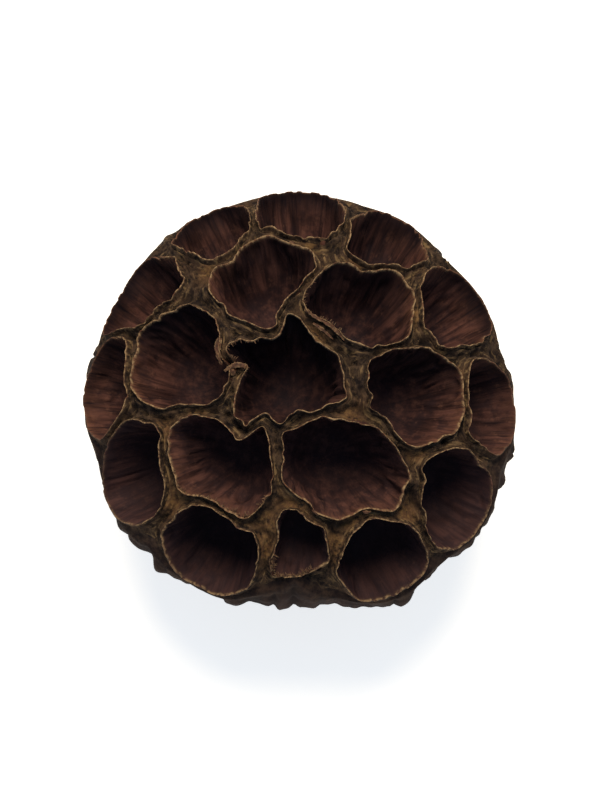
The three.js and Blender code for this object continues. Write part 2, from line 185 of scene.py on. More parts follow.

# Painted shade in the cells at the outermost lips towards +Y: where it lies by bearing and by arc length,
# and its depth
EDGE_SHADE = 0.93
EDGE_SHADE_SIDE = (-0.3, 0.4)
NEAR_EDGE = (38.0, 46.0)
EDGE_SHADE_DEPTH = 4.0
# Y of a cell's middle at which it starts to count as an upper cell, and at which it fully does
UPPER_CELLS = (-22.0, 4.0)
# Painted shade on the walls towards +Y in the upper cells, outer and inner: where it lies, and its depth
TOP_SHADE = (0.35, 0.78)
TOP_SHADE_SIDE = (-0.2, 0.8)
TOP_SHADE_DEPTH = 9.0
# Painted flat cool light: how far the lining of the lower cells is mixed towards a flat purple-grey, outer
# and inner
PAINTED_FLAT_LIGHT_SHARE = (0.6, 0.25)
# Cells of the outer ring, and those on its right half
OUTER_CELLS = 12
RIGHT_CELLS = 6
# The warm band under the rim, painted light where the walls near the rim catch it: its depth, and its
# strength in the lower and upper outer cells
RIM_BAND = 3.0
OUTER_RIM_SHARE = (0.1, 0.8)
# The tan line on the lips: shares of their height where it sets in, its depth below the rim, and its
# strength on the outermost lips, first on most of them and then on the lowest
LIP_LINE = (0.78, 1.0)
LIP_LINE_DEPTH = 0.4
OUTER_LIP_SHARE = (0.08, 0.8)
LOWEST_LIPS = (0.2, 0.8)
# Shares of a lip's height over which the pith on its outer side ends
LIP_PITH_ENDS = (0.8, 1.0)

# Finer forms that the photograph shows. A form of relief is its height, its wavelength round a loop, its
# stretch away from the loop and the seed of its noise. Lips: jags, fraying, chips and curls
LIP_JAG = (0.62, 2.4, 1.0, 0)
LIP_JAG_FINE = (0.36, 1.0, 1.0, 0)
LIP_FRAY = (1.0, 7.0, 1.0, 60)
LIP_CHIP = (1.0, 1.1, 1.0, 40)
LIP_CURL = (0.28, 2.4, 1.0, 80)
FRAY_BAND = (-0.5, 0.6)
CHIP_SHARPNESS = 1.5
# How jagged a lip is where it is whole and where it is frayed, and the share of that at the face's edge
FRAY_SHARE = (0.4, 1.4)
EDGE_JAG_SHARE = 0.4
# Gaps between mouths over which the jags grow, and their share at the lip's foot
JAG_ROOM = (0.8, 3.0)
FOOT_JAG_SHARE = 0.5
# Share of its height that a chipped or torn lip keeps
LEAST_LIP = 0.25
# Points to each side over which lips and their jags' directions are smoothed, and the drop from lip to cup
LIP_SMOOTHING = 7
NORMAL_SMOOTHING = 3
RIM_ROUND = 0.25
# Section of a lip from the web to the cup: share of its width outside the mouth, share of its height
LIP_SECTION = np.array([
    [1.0, 0.0], [0.87, 0.2], [0.73, 0.42], [0.6, 0.64], [0.48, 0.84], [0.38, 0.96], [0.26, 1.0],
    [0.12, 0.95],
])
# Cups: creases, ribs, swells, how far creases drift aside, and the patches that have creases
CUP_CREASE = (0.5, 1.9, 8.0, 0)
CUP_RIB = (0.3, 0.9, 5.0, 120)
CUP_SWELL = (0.75, 6.5, 9.0, 160)
CUP_DRIFT = (1.6, 5.0, 6.0, 200)
CREASE_PATCH = (1.0, 4.0, 6.0, 240)
CREASE_PATCH_BAND = (-0.35, 0.35)
CREASE_SHARPNESS = 0.16
OUTER_PLEAT_SHARE = 0.5
# Where relief starts, in millimetres below the rim, and ends, in shares of the depth
CREASE_STARTS = (0.1, 2.2)
CREASE_ENDS = (0.5, 0.9)
SWELL_STARTS = (0.5, 5.0)
RELIEF_ENDS = (0.7, 0.98)
RELIEF_FULL_REACH = 4.0
# Shares of the depth over which the jagged rim eases into a smooth wall and the wall into a round floor
RIM_EASES = (0.05, 0.45)
FLOOR_ROUNDS = (0.4, 1.0)
# Points to each side over which the rim is smoothed, and how much rows crowd towards the rim and the floor
CUP_EASING = 26
ROW_CROWDING = 0.6
# How much the finish's streaks are stretched down a cup
CUP_STRAND_STRETCH = 0.12
# Web: sag, height and size of its crumbs, pits and threads, and how they fade
WEB_SAG = 1.0
WEB_SAG_ENDS = (0.1, 1.4)
WEB_PITH = (1.0, 1.9)
WEB_PIT = (0.8, 1.3)
WEB_PIT_BAND = (0.25, 0.8)
WEB_FIBRE = (0.3, 1.7)
WEB_THREAD = (0.8, 1.1)
THREAD_LEVEL = 0.4
# How hollow a point must lie for the full painted shade in the web's hollows
WEB_HOLLOW = 0.9
WEB_RELIEF_STARTS = 0.6
OCHRE_CALM = 0.65
EDGE_CALM = 0.15
EDGE_BLEND = 2.5
# Pith at the face's edge: its reach over the wall and into the web, and its share on the lower side
PITH_OVER_EDGE = (1.0, 5.5)
PITH_FROM_EDGE = (0.2, 3.5)
LOWER_PITH_SHARE = 0.45
LOWER_PITH_SIDE = (-0.4, 0.4)
# Wall: lengthwise creases and ribs, cross folds, the flutes' sway and the scars round the neck
WALL_RIDGE = (1.0, 3.4, 46.0, 0.0)
WALL_RIB = (0.42, 1.5, 22.0, 11.0)
WALL_FOLD = (0.16, 7.0, 1.4, 23.0)
FLUTE_SWAY = (1.8, 13.0, 40.0, 47.0)
WALL_SCAR = (1.0, 1.5, 1.3, 31.0)
WALL_CREASE_SHARPNESS = 0.22
WALL_FADE = 3.0
# Lumps: height and size
WALL_LUMP = (0.9, 9.0)
# Dips between the outer cells: depth, how far the edge must fall short, and reach down the wall
WALL_DIP = (0.6, 4.0, 14.0)
DIP_SMOOTHING = 24
DIP_MARGIN = 0.6
# Flutes: depth, number, and the arc lengths over which they set in
WALL_FLUTE = (1.0, 27, 66.0, 84.0)
# How much the finish's streaks are stretched down the wall
WALL_STRAND_STRETCH = 0.1
# How far inside the CAD solid's box the wall starts to be held back
BOX_MARGIN = 0.8
# Lumps of the wall that show in the outline: bearing in degrees, arc length, half width and height
WALL_BULGES = np.array([
    [265, 60, 6.5, 0.9], [256, 60, 4.0, 0.5], [285, 59, 3.0, 1.0], [295, 59, 3.0, 0.9], [345, 57, 2.6, 1.9],
    [353, 57, 3.5, 0.9], [335, 58, 4.0, 0.5], [321, 58, 3.0, 0.6], [186, 57, 3.0, 0.9], [10, 56, 2.4, 0.9],
    [28, 56, 3.5, 0.5], [46, 55, 2.6, 0.9], [85, 55, 3.0, 0.4], [116, 56, 2.5, 0.5], [171, 56, 2.5, 0.5],
    [231, 58, 2.5, 0.7], [215, 58, 3.0, 0.5],
])
BULGE_STRETCH = 1.6
# Scars round the neck: height, mean level, and how far from the cut they set in and end
SCAR_HEIGHT = 0.5
SCAR_LEVEL = 0.25
SCAR_STARTS = (0.6, 2.5)
SCAR_ENDS = (4.0, 7.0)
# Air canals in the cut: number, ring radius and size. The cut's fibres: height and size
CANAL_RINGS = ((9, 5.4, 0.95), (5, 2.3, 0.7))
CANAL_DEPTH = 1.6
CANAL_FLOOR_SHARE = 0.55
CUT_FIBRE = (0.12, 0.8)

# Torn strips on the flattened dome: x, y and lift of a first, second and third place, two widths, thickness
TORN_STRIPS = np.array([
    [-16.0, 5.2, -0.6, -17.0, 2.6, -0.3, -15.8, -0.2, -1.6, 1.6, 0.7, 0.35],
    [-10.6, -1.3, -0.7, -12.6, -0.2, 0.3, -15.0, -1.9, -0.7, 1.3, 0.8, 0.45],
    [-13.0, -2.6, -0.9, -14.2, -1.6, -0.1, -13.8, -0.3, -1.6, 1.2, 0.6, 0.4],
    [0.9, 11.4, -0.7, 2.2, 8.9, 0.2, 5.4, 7.9, -0.5, 0.9, 0.6, 0.3],
    [4.4, 8.4, -0.7, 6.6, 7.0, 0.3, 8.8, 4.2, -0.7, 0.9, 0.5, 0.3],
    [2.6, 8.0, -1.0, 4.6, 6.3, 0.0, 6.6, 4.6, -1.1, 0.8, 0.5, 0.3],
    [-2.2, 27.6, -0.5, -1.6, 26.9, 0.2, -0.6, 26.2, -0.6, 0.9, 0.4, 0.4],
    [12.6, -29.8, -0.6, 13.2, -30.3, 0.1, 14.4, -29.9, -0.6, 0.8, 0.4, 0.35],
    [2.4, -29.8, -0.6, 3.0, -30.2, 0.1, 3.9, -31.0, -0.6, 0.8, 0.4, 0.35],
])
# How blunt strips end, how ragged they are (height, rate, seed), and their pith away from the edges
STRIP_ENDS = (0.04, 0.98)
STRIP_BLUNTNESS = 0.35
STRIP_RAGS = ((0.45, 1.7, 0), (0.3, 4.1, 9))
STRIP_EDGE_SHARPNESS = 3
STRIP_PITH_SHARE = 0.65
# Frayed lips: cell, from and to as shares of the way round its mouth, fibres and their length
FRINGES = (
    (6, 0.5, 0.84, 90, 1.5), (16, 0.5, 0.86, 70, 1.0), (13, 0.72, 0.98, 40, 0.9), (18, 0.7, 0.9, 30, 0.8),
)
# Fibres: place of the root on the lip and its lift, then ranges of sway, reach, rise and widths
FIBRE_ROOT = 0.4
FIBRE_ROOT_LIFT = -0.5
FIBRE_SWAY = (-0.5, 0.5)
FIBRE_REACH = (0.5, 1.0)
FIBRE_RISE = (-0.9, 0.3)
FIBRE_WIDTH = (0.16, 0.34)
FIBRE_TIP = (0.06, 0.14)
FIBRE_THICKNESS = 0.14
# Shares of sway, reach and rise at a fibre's bend
FIBRE_BEND = (0.3, 0.5, 0.2)

# Grids
MOUTH_POINTS = 208
CUP_ROWS = 46
STRIP_GRID = (40, 20)
FIBRE_GRID = (7, 6)
WALL_COLUMNS = 600
WALL_ROWS = 92
CUT_ROWS = 16
WEB_STEP = 0.42
WEB_REACH = 58
WEB_JITTER = 0.36
WEB_EDGE_GAP = 0.3
WEB_LOOP_GAP = 0.22
CURVE_STEPS = 24
PROFILE_STEPS = 1500
FULL_TURN = 2 * np.pi
TINY = 1e-9
MERGE_DISTANCE = 1e-6

# Steps between the noise of one mouth, cell or loop and the next, and from the web's crumbs to its pits
MOUTH_SEED = 3.7
CELL_SEED = 5.3
LOOP_SEED = 11.3
PIT_SEED = 50
# Each layer of layered noise against the one before it: fineness, height and shift
LAYER_FINENESS = 2.03
LAYER_HEIGHT = 0.5
LAYER_SHIFT = 7.1

RANDOM_SEED = 19
LATTICE_SIZE = 32
rng = np.random.default_rng(RANDOM_SEED)
LATTICE = rng.uniform(-1, 1, (LATTICE_SIZE, LATTICE_SIZE, LATTICE_SIZE))


def smoothstep(value, low, high):
    """A smooth rise from 0 at low to 1 at high: three t squared less two t cubed."""
    t = np.clip((value - low) / (high - low), 0, 1)
    return t * t * (3 - 2 * t)


def lerp(a, b, t):
    """The point a share t of the way from a to b."""
    return a + (b - a) * t


def noise(p):
    """Smooth noise from -1 to 1: random values on a unit lattice, blended by a cubic fade on each axis."""
    corner = np.floor(p).astype(int)
    t = p - corner
    t = t * t * (3 - 2 * t)
    total = 0
    for step in np.ndindex(2, 2, 2):
        weight = np.prod(np.where(step, t, 1 - t), axis=-1)
        at = (corner + step) % len(LATTICE)
        total = total + weight * LATTICE[at[..., 0], at[..., 1], at[..., 2]]
    return total


def layered_noise(p, layers):
    """Noise summed in layers, each about twice as fine and half as high as the one before."""
    return sum(noise(p * LAYER_FINENESS ** i + LAYER_SHIFT * i) * LAYER_HEIGHT ** i for i in range(layers))


def form_noise(form, circle, along, seed=0.0):
    """Noise of a form of relief on a closed strip: read round a circle of the strip's length by the form's
    wavelength, and along the strip by its stretch."""
    _, wavelength, stretch, own_seed = form
    shape = np.broadcast_shapes(circle.shape[:-1], np.shape(along))
    third = np.broadcast_to(along / stretch + (seed + own_seed), shape)
    flat = np.broadcast_to(circle / wavelength, shape + (2,))
    return noise(np.concatenate([flat, third[..., None]], axis=-1))


def relief(form, circle, along, seed=0.0):
    """A form of relief on a closed strip: its height times its noise."""
    return form[0] * form_noise(form, circle, along, seed)


def bell(value, width):
    """1 where a value is 0, falling to both sides: e to minus the square of the value over the width."""
    return np.exp(-(value / width) ** 2)


def unit(vectors):
    """Vectors divided by their lengths."""
    return vectors / np.linalg.norm(vectors, axis=-1, keepdims=True)


def lengths_along(points):
    """Length along a line of points from the first to each: the sum of the steps between them."""
    return np.concatenate([[0], np.cumsum(np.linalg.norm(np.diff(points, axis=0), axis=1))])


def arc_of(xy):
    """Arc length from the top to points of the flattened dome: their distance from its middle."""
    return np.hypot(xy[..., 0], xy[..., 1])


def bearing_of(xy):
    """Bearing round the pod of points of the flattened dome: their direction from its middle."""
    return np.arctan2(xy[..., 1], xy[..., 0])


def catmull_rom(a, b, c, d, t):
    """The cubic between b and c whose slope at each is half the step between that point's neighbours."""
    return b + 0.5 * t * (c - a + t * (2 * a - 5 * b + 4 * c - d + t * (3 * (b - c) + d - a)))


def profile_table():
    """The pod's profile from the top of the dome to the cut as close points: a quarter ellipse, a cubic
    curve drawing in to the neck and a straight neck. Gives arc length, radius and height."""
    t = np.linspace(0, 1, PROFILE_STEPS)[:, None]
    angle = (1 - t) * np.pi / 2
    dome = np.hstack([WIDEST_RADIUS * np.cos(angle), WIDEST_HEIGHT + DOME_HEIGHT * np.sin(angle)])
    ends = [(WIDEST_RADIUS, WIDEST_HEIGHT), (WIDEST_RADIUS, WIDEST_HEIGHT - FLANK_DROP), FLANK_PULL,
            (NECK_RADIUS, NECK_HEIGHT)]
    weights = [(1 - t) ** 3, 3 * t * (1 - t) ** 2, 3 * t ** 2 * (1 - t), t ** 3]
    flank = sum(weight * np.array(end) for weight, end in zip(weights, ends))
    neck = lerp(np.array([NECK_RADIUS, NECK_HEIGHT]), np.array([CUT_RADIUS, 0.0]), t)
    points = np.vstack([dome, flank[1:], neck[1:]])
    return lengths_along(points), points[:, 0], points[:, 1]


ARC, RADIUS, HEIGHT = profile_table()
ARC_END = ARC[-1]
SLOPE_OUT = np.gradient(RADIUS, ARC)
SLOPE_UP = np.gradient(HEIGHT, ARC)


def outline_radius(bearing):
    """The outline's radius at a bearing, on a smooth closed curve through the listed radii."""
    count = len(OUTLINE)
    turn = np.mod(bearing / FULL_TURN, 1) * count
    i = np.floor(turn).astype(int)
    a, b, c, d = (OUTLINE[(i + k) % count] for k in (-1, 0, 1, 2))
    return catmull_rom(a, b, c, d, turn - i)


def wrap(xy, lift=0.0):
    """A point of the flattened dome carried onto the pod: its distance from the middle is arc length along
    the profile, its direction the bearing, and lift moves it along the profile's normal."""
    arc = np.minimum(arc_of(xy), ARC_END)
    bearing = bearing_of(xy)
    tables = (RADIUS, HEIGHT, SLOPE_OUT, SLOPE_UP)
    radius, height, out, up = (np.interp(arc, ARC, table) for table in tables)
    share = smoothstep(arc, OUTLINE_STARTS, OUTLINE_FULL) * (1 - smoothstep(arc, OUTLINE_FADES, ARC_END))
    reach = (radius - up * lift) * lerp(1, outline_radius(bearing) / WIDEST_RADIUS, share)
    return np.stack([reach * np.cos(bearing), reach * np.sin(bearing), height + out * lift], axis=-1)


def closed_curve(listed, count):
    """Evenly spaced points on the smooth closed curve through the listed ones, and the curve's length."""
    t = np.arange(CURVE_STEPS)[:, None] / CURVE_STEPS
    a, b, c, d = (np.roll(np.array(listed, float), k, axis=0)[:, None] for k in (1, 0, -1, -2))
    fine = catmull_rom(a, b, c, d, t).reshape(-1, 2)
    fine = np.vstack([fine, fine[:1]])
    length = lengths_along(fine)
    at = np.linspace(0, length[-1], count, endpoint=False)
    return np.column_stack([np.interp(at, length, fine[:, k]) for k in (0, 1)]), length[-1]


def outward(loop):
    """Unit normals out of a clockwise loop: the step between each point's neighbours, turned left."""
    step = np.roll(loop, -1, axis=0) - np.roll(loop, 1, axis=0)
    return unit(np.column_stack([-step[:, 1], step[:, 0]]))


def smoothed(loop_values, width):
    """Values round a loop averaged over a raised cosine window that is width points wide on each side."""
    offsets = np.arange(-width, width + 1)
    weights = 1 + np.cos(np.pi * offsets / (width + 1))
    return sum(w * np.roll(loop_values, k, axis=0) for w, k in zip(weights, offsets)) / weights.sum()


def nearest(points, targets, chunk=400):
    """Each point's distance to the nearest target, and which target that is."""
    parts = [points[i:i + chunk] for i in range(0, len(points), chunk)]
    which = np.concatenate([((part[:, None] - targets) ** 2).sum(axis=-1).argmin(axis=1) for part in parts])
    return np.linalg.norm(points - targets[which], axis=1), which


def torn_depth(xy):
    """How far the torn partition is broken down: a flat-topped bell along x and a plain bell along y."""
    along = (xy[..., 0] - TEAR_MIDDLE[0]) / TEAR_HALF[0]
    across = (xy[..., 1] - TEAR_MIDDLE[1]) / TEAR_HALF[1]
    return TEAR_DEPTH * np.exp(-along ** 4 - across ** 2)


PLAIN_MOUTHS = [closed_curve(listed, MOUTH_POINTS) for listed in MOUTHS]
CIRCLE = np.column_stack([f(FULL_TURN * np.arange(MOUTH_POINTS) / MOUTH_POINTS) for f in (np.cos, np.sin)])


def mouth_and_lip(k):
    """A mouth's jagged outline and the foot of its lip: noise round the loop moves the smooth outline along
    its normal, and the foot lies further out by the lip's width, which narrow gaps to other mouths make
    less. Gives both and the circle of the mouth's length on which its noise is read."""
    plain, length = PLAIN_MOUTHS[k]
    others = np.vstack([loop for j, (loop, _) in enumerate(PLAIN_MOUTHS) if j != k])
    gap, _ = nearest(plain, others)
    circle = CIRCLE * length / FULL_TURN
    normal = smoothed(outward(plain), NORMAL_SMOOTHING)
    room = smoothstep(gap, *JAG_ROOM)
    seed = MOUTH_SEED * k
    jag = relief(LIP_JAG, circle, 0.0, seed) + relief(LIP_JAG_FINE, circle, 0.0, seed)
    jag = jag * lerp(*FRAY_SHARE, smoothstep(relief(LIP_FRAY, circle, 0.0, seed), *FRAY_BAND))
    jag = jag * lerp(1, EDGE_JAG_SHARE, smoothstep(arc_of(plain), *VALLEY_ENDS))
    mouth = plain + normal * (jag * room)[:, None]
    width = smoothed(np.minimum(LIP_WIDTH, LIP_SHARE_OF_GAP * gap), LIP_SMOOTHING)
    out = smoothed(outward(plain), LIP_SMOOTHING)
    foot = plain + out * width[:, None] + normal * (FOOT_JAG_SHARE * jag * room)[:, None]
    return mouth, foot, circle


LIPS = [mouth_and_lip(k) for k in range(len(MOUTHS))]
FEET = np.vstack([foot for _, foot, _ in LIPS])


def edge_table(count):
    """Arc length of the face's edge by bearing: a scalloped line a margin outside the outermost lips, where
    each lip point reaches less far to its sides by the square of the way aside."""
    bearing = FULL_TURN * np.arange(count) / count
    arc = arc_of(FEET)
    turn = bearing_of(FEET) - bearing[:, None]
    aside = arc * np.arctan2(np.sin(turn), np.cos(turn))
    return bearing, (arc - aside ** 2 / (2 * EDGE_ROUNDNESS)).max(axis=1) + EDGE_MARGIN


EDGE_BEARING, EDGE_ARC = edge_table(WALL_COLUMNS)


def at_bearing(xy, table):
    """A table by bearing, such as the face's edge, read at the bearing of points on the flattened dome."""
    return np.interp(np.mod(bearing_of(xy), FULL_TURN), EDGE_BEARING, table, period=FULL_TURN)


def from_edge(xy):
    """How far points on the flattened dome lie inside the face's edge."""
    return at_bearing(xy, EDGE_ARC) - arc_of(xy)


def web_level(xy):
    """Lift of the web: sunk below the lips by the valley and the tear, rising to the wall at the edge."""
    valley = LIP_HEIGHT * lerp(1, EDGE_VALLEY_SHARE, smoothstep(arc_of(xy), *VALLEY_ENDS))
    return -lerp(WALL_INSET, valley + torn_depth(xy), smoothstep(from_edge(xy), 0, EDGE_BLEND))


def grid_faces(rows, columns, first=0):
    """Quads of a grid that closes on itself along its columns, numbered row by row."""
    i = first + np.arange(rows - 1)[:, None] * columns + np.arange(columns)
    j = first + np.arange(rows - 1)[:, None] * columns + (np.arange(columns) + 1) % columns
    return np.stack([i, i + columns, j + columns, j], axis=-1).reshape(-1, 4)


def fan_faces(columns, first, tip):
    """Triangles from a closed row of points to one tip."""
    i = first + np.arange(columns)
    j = first + (np.arange(columns) + 1) % columns
    return np.column_stack([np.full(columns, tip), j, i])


def seed_cell(k):
    """One seed cell as a grid, columns clockwise round the mouth, rows from the web over the lip and down
    the cup to one point. The lip follows its section table. A cup point a share `down` of the depth is the
    mouth's middle, plus the inward axis by that share, plus the rim's sideways reach, drawn in by a taper,
    which is greater in the thin-walled cell, and by a rounded floor. Creases, ribs and swells, stretched
    down the wall, move it sideways. Each point also gets the values that its finish is mixed by."""
    mouth, foot, circle = LIPS[k]
    count = len(mouth)
    seed = CELL_SEED * k
    inner = int(k >= OUTER_CELLS)
    rim = wrap(mouth)
    middle = rim.mean(axis=0)
    inward = np.array([0, 0, CELL_FOCUS_HEIGHT]) - middle
    inward = inward / np.linalg.norm(inward)
    along = (rim - middle) @ inward
    side = rim - middle - along[:, None] * inward
    reach = np.linalg.norm(side, axis=1)
    side = side / reach[:, None]
    depth = CELL_DEPTH_TO_WIDTH * 2 * reach.mean()

    # Lip: chipped and torn down from its crest, and curled in or out
    level = web_level(foot)
    chip = LIP_CHIP[0] * np.clip(form_noise(LIP_CHIP, circle, 0.0, seed), 0, 1) ** CHIP_SHARPNESS
    torn = torn_depth(foot)
    crest = np.maximum(-torn - chip, lerp(level, 0, LEAST_LIP) - torn * (1 - LEAST_LIP))
    curl = relief(LIP_CURL, circle, 0.0, seed)
    share, rise = (column[:, None] for column in LIP_SECTION.T)
    lip_xy = lerp(mouth, foot, share[..., None]) + (outward(mouth) * curl[:, None]) * rise[..., None]
    lip_points = wrap(lip_xy, lerp(level, crest, rise))

    # Cup: its plain form
    start = (RIM_ROUND - crest) / depth
    ring = np.linspace(0, 1, CUP_ROWS + 1)[:-1, None]
    ring = lerp(ring, (1 - np.cos(np.pi * ring)) / 2, ROW_CROWDING)
    down = lerp(start, 1, ring)
    below = (down - start) * depth
    taper = THIN_WALL_TAPER if k == THIN_WALL_CELL else CELL_TAPER
    closing = (1 - taper * down) * (1 - down ** CELL_FLOOR_STARTS) ** (1 / CELL_FLOOR_ROUND)
    eased = lerp(reach, smoothed(reach, CUP_EASING), smoothstep(down, *RIM_EASES))
    roundness = lerp(CELL_ROUNDING, 1, smoothstep(down, *FLOOR_ROUNDS)) * down ** 2
    rounded = lerp(eased, reach.mean(), roundness) * closing

    # Cup: creases and ribs that drift aside on their way down, and swells
    wall_part = smoothstep(below, *CREASE_STARTS) * (1 - smoothstep(down, *CREASE_ENDS))
    turn = relief(CUP_DRIFT, circle, below, seed)
    drifted = circle + np.roll(circle * (1, -1), 1, axis=1) * (turn / np.hypot(*circle[0]))[..., None]
    patchy = smoothstep(relief(CREASE_PATCH, circle, below, seed), *CREASE_PATCH_BAND)
    crease = bell(form_noise(CUP_CREASE, drifted, below, seed), CREASE_SHARPNESS)
    pleat = 1 if inner else OUTER_PLEAT_SHARE
    crease = crease * wall_part * patchy * pleat
    shift = CUP_CREASE[0] * crease
    shift = shift + relief(CUP_RIB, drifted, below, seed) * wall_part * pleat
    shift = shift + relief(CUP_SWELL, circle, below, seed) * smoothstep(below, *SWELL_STARTS)
    shift = shift * (1 - smoothstep(down, *RELIEF_ENDS))
    shift = shift * np.minimum(1, rounded / RELIEF_FULL_REACH) + curl * np.exp(-below)
    cup = (middle + inward * (depth * down + along * (1 - down))[..., None]
           + side * (rounded + shift)[..., None])
    tip = middle + inward * depth

    points = np.vstack([lip_points.reshape(-1, 3), cup.reshape(-1, 3), tip])
    rows = len(LIP_SECTION) + CUP_ROWS
    faces = [grid_faces(rows, count), fan_faces(count, (rows - 1) * count, rows * count)]
    lip_rows = np.broadcast_to(rise, (len(LIP_SECTION), count))
    above = np.zeros(lip_rows.shape)

    def column(lip_values, cup_values, tip_value):
        """One value per point: those of the lip's rows, the cup's rows and the tip."""
        return np.concatenate([lip_values.ravel(), cup_values.ravel(), [tip_value]])

    # Values for the finish, among them painted light and shade
    strand_depth = column(above, below, depth) * CUP_STRAND_STRETCH + seed
    strand_circle = np.vstack([np.tile(circle, (rows, 1)), [[0, 0]]])
    arc = arc_of(foot)
    at_edge = lerp(*OUTER_LIP_SHARE, smoothstep(-foot[:, 1] / arc, *LOWEST_LIPS))
    near_edge = smoothstep(arc, *NEAR_EDGE)
    bright = lerp(1, at_edge, near_edge)
    # Where the painted shade at the outermost lips towards +Y lies
    top_edge = near_edge * smoothstep(foot[:, 1] / arc, *EDGE_SHADE_SIDE)
    upper = smoothstep(middle[1], *UPPER_CELLS)
    # Painted light under the rim is weaker in the lower outer cells
    rim_share = 1 if inner else lerp(*OUTER_RIM_SHARE, upper)
    # Painted flat cool light in the lower cells
    dull = (1 - upper) * PAINTED_FLAT_LIGHT_SHARE[inner]
    # Painted shade on the walls towards +Y of the upper cells, over whole cells and at the outermost lips
    # towards +Y
    at_top = upper * TOP_SHADE[inner] * smoothstep(side[:, 1], *TOP_SHADE_SIDE)
    shade = CELL_SHADE[k] + at_top * bell(below, TOP_SHADE_DEPTH)
    shade = lerp(shade, EDGE_SHADE, top_edge * bell(below, EDGE_SHADE_DEPTH))
    crest_band = smoothstep(lip_rows, *LIP_LINE)
    under_rim = bell(below + RIM_ROUND, LIP_LINE_DEPTH)
    values = {
        "lip": column(crest_band * bright, under_rim * bright, 0),
        "flank": column(1 - smoothstep(lip_rows, *LIP_PITH_ENDS), below * 0, 0),
        "rim": column(above + 1, np.exp(-below / RIM_BAND), 0) * rim_share,
        "groove": column(above, crease, 0),
        "depth": column(above, down, 1),
        "shade": column(above, shade, CELL_SHADE[k]),
        "dull": column(above, below * 0 + dull, dull),
        "strand": np.column_stack([strand_circle, strand_depth]),
    }
    return points, faces, values


def strips(places, widths, thick, rows, sides):
    """Torn strips and fibres: a flat oval carried along a curve from a first place past a second to a
    third, which narrows from the first width to the second and closes in a point at both ends. Places are
    rows of x, y and lift on the flattened dome."""
    start, bend, end = (wrap(place[:, :2], place[:, 2])[:, None] for place in places)
    t = np.linspace(0, 1, rows)[:, None]
    path = (1 - t) ** 2 * start + 2 * t * (1 - t) * bend + t ** 2 * end
    ahead = unit(2 * (1 - t) * (bend - start) + 2 * t * (end - bend))
    out = start - np.array([0, 0, CELL_FOCUS_HEIGHT])
    side = unit(np.cross(ahead, np.broadcast_to(out, ahead.shape)))
    face = np.cross(side, ahead)
    body = np.sin(np.pi * lerp(*STRIP_ENDS, t)) ** STRIP_BLUNTNESS
    ragged = 1
    for height, rate, seed in STRIP_RAGS:
        ragged = ragged + height * noise(path * rate + seed)[..., None]
    half_width = lerp(widths[:, :1, None], widths[:, 1:, None], t) * body * ragged / 2
    half_thick = np.minimum(thick[:, None, None] * body / 2, half_width)
    turn = FULL_TURN * np.arange(sides) / sides
    ring = (path[:, :, None] + (half_width * side)[:, :, None] * np.cos(turn)[:, None]
            + (half_thick * face)[:, :, None] * np.sin(turn)[:, None])
    count = len(start)
    per = rows * sides + 2
    points = np.concatenate([ring.reshape(count, -1, 3), path[:, :1], path[:, -1:]], axis=1)
    one = [grid_faces(rows, sides)[:, ::-1], fan_faces(sides, 0, per - 2)]
    one.append(fan_faces(sides, (rows - 1) * sides, per - 1)[:, ::-1])
    shifts = per * np.arange(count)[:, None, None]
    faces = [(part + shifts).reshape(-1, part.shape[1]) for part in one]
    edge = np.abs(np.cos(turn)) ** STRIP_EDGE_SHARPNESS
    edge = np.broadcast_to(edge, (count, rows, sides)).reshape(count, -1)
    edge = np.concatenate([edge, np.ones((count, 2))], axis=1).ravel()
    flat = points.reshape(-1, 3)
    values = {"lip": edge, "flank": STRIP_PITH_SHARE * (1 - edge), "rim": 1 - edge, "strand": flat}
    values.update({key: edge * 0 for key in ("groove", "depth", "shade", "dull")})
    return flat, faces, values


def lip_fibres(k, low, high, count, length):
    """Short fibres standing in from the lip of one cell, between two shares of the way round its mouth:
    each starts on the lip and runs inwards by its length, with some sway and rise."""
    mouth, foot, _ = LIPS[k]
    at = rng.uniform(low, high, count) * MOUTH_POINTS
    at = at.astype(int) % MOUTH_POINTS
    root = lerp(mouth[at], foot[at], FIBRE_ROOT)
    inward = -outward(mouth)[at]
    sway = rng.uniform(*FIBRE_SWAY, (count, 2))
    reach = (length * rng.uniform(*FIBRE_REACH, count))[:, None]
    rise = rng.uniform(*FIBRE_RISE, count)[:, None]
    bend_sway, bend_reach, bend_rise = FIBRE_BEND
    places = [np.hstack([root, np.full((count, 1), FIBRE_ROOT_LIFT)]),
              np.hstack([root + (inward + bend_sway * sway) * reach * bend_reach, rise * bend_rise]),
              np.hstack([root + (inward + sway) * reach, rise])]
    widths = np.column_stack([rng.uniform(*FIBRE_WIDTH, count), rng.uniform(*FIBRE_TIP, count)])
    return strips(places, widths, np.full(count, FIBRE_THICKNESS), *FIBRE_GRID)


def torn_edges():
    """What hangs at the torn and frayed places: the flap and the hook beside the broken partition, ledges
    on the lips, and fibres on the lips that the photograph shows frayed."""
    places = [TORN_STRIPS[:, 3 * i:3 * i + 3] for i in range(3)]
    parts = [strips(places, TORN_STRIPS[:, 9:11], TORN_STRIPS[:, 11], *STRIP_GRID)]
    parts += [lip_fibres(*fringe) for fringe in FRINGES]
    return joined(parts)


def held(value, low, high):
    """Holds a value between two limits: it is unchanged up to a margin inside a limit, and beyond that it
    uses up the margin ever more slowly, by an exponential."""
    middle = (low + high) / 2
    free = (high - low) / 2 - BOX_MARGIN
    beyond = np.clip(np.abs(value - middle) - free, 0, None)
    eased = BOX_MARGIN * (1 - np.exp(-beyond / BOX_MARGIN))
    return np.where(beyond > 0, middle + np.sign(value - middle) * (free + eased), value)


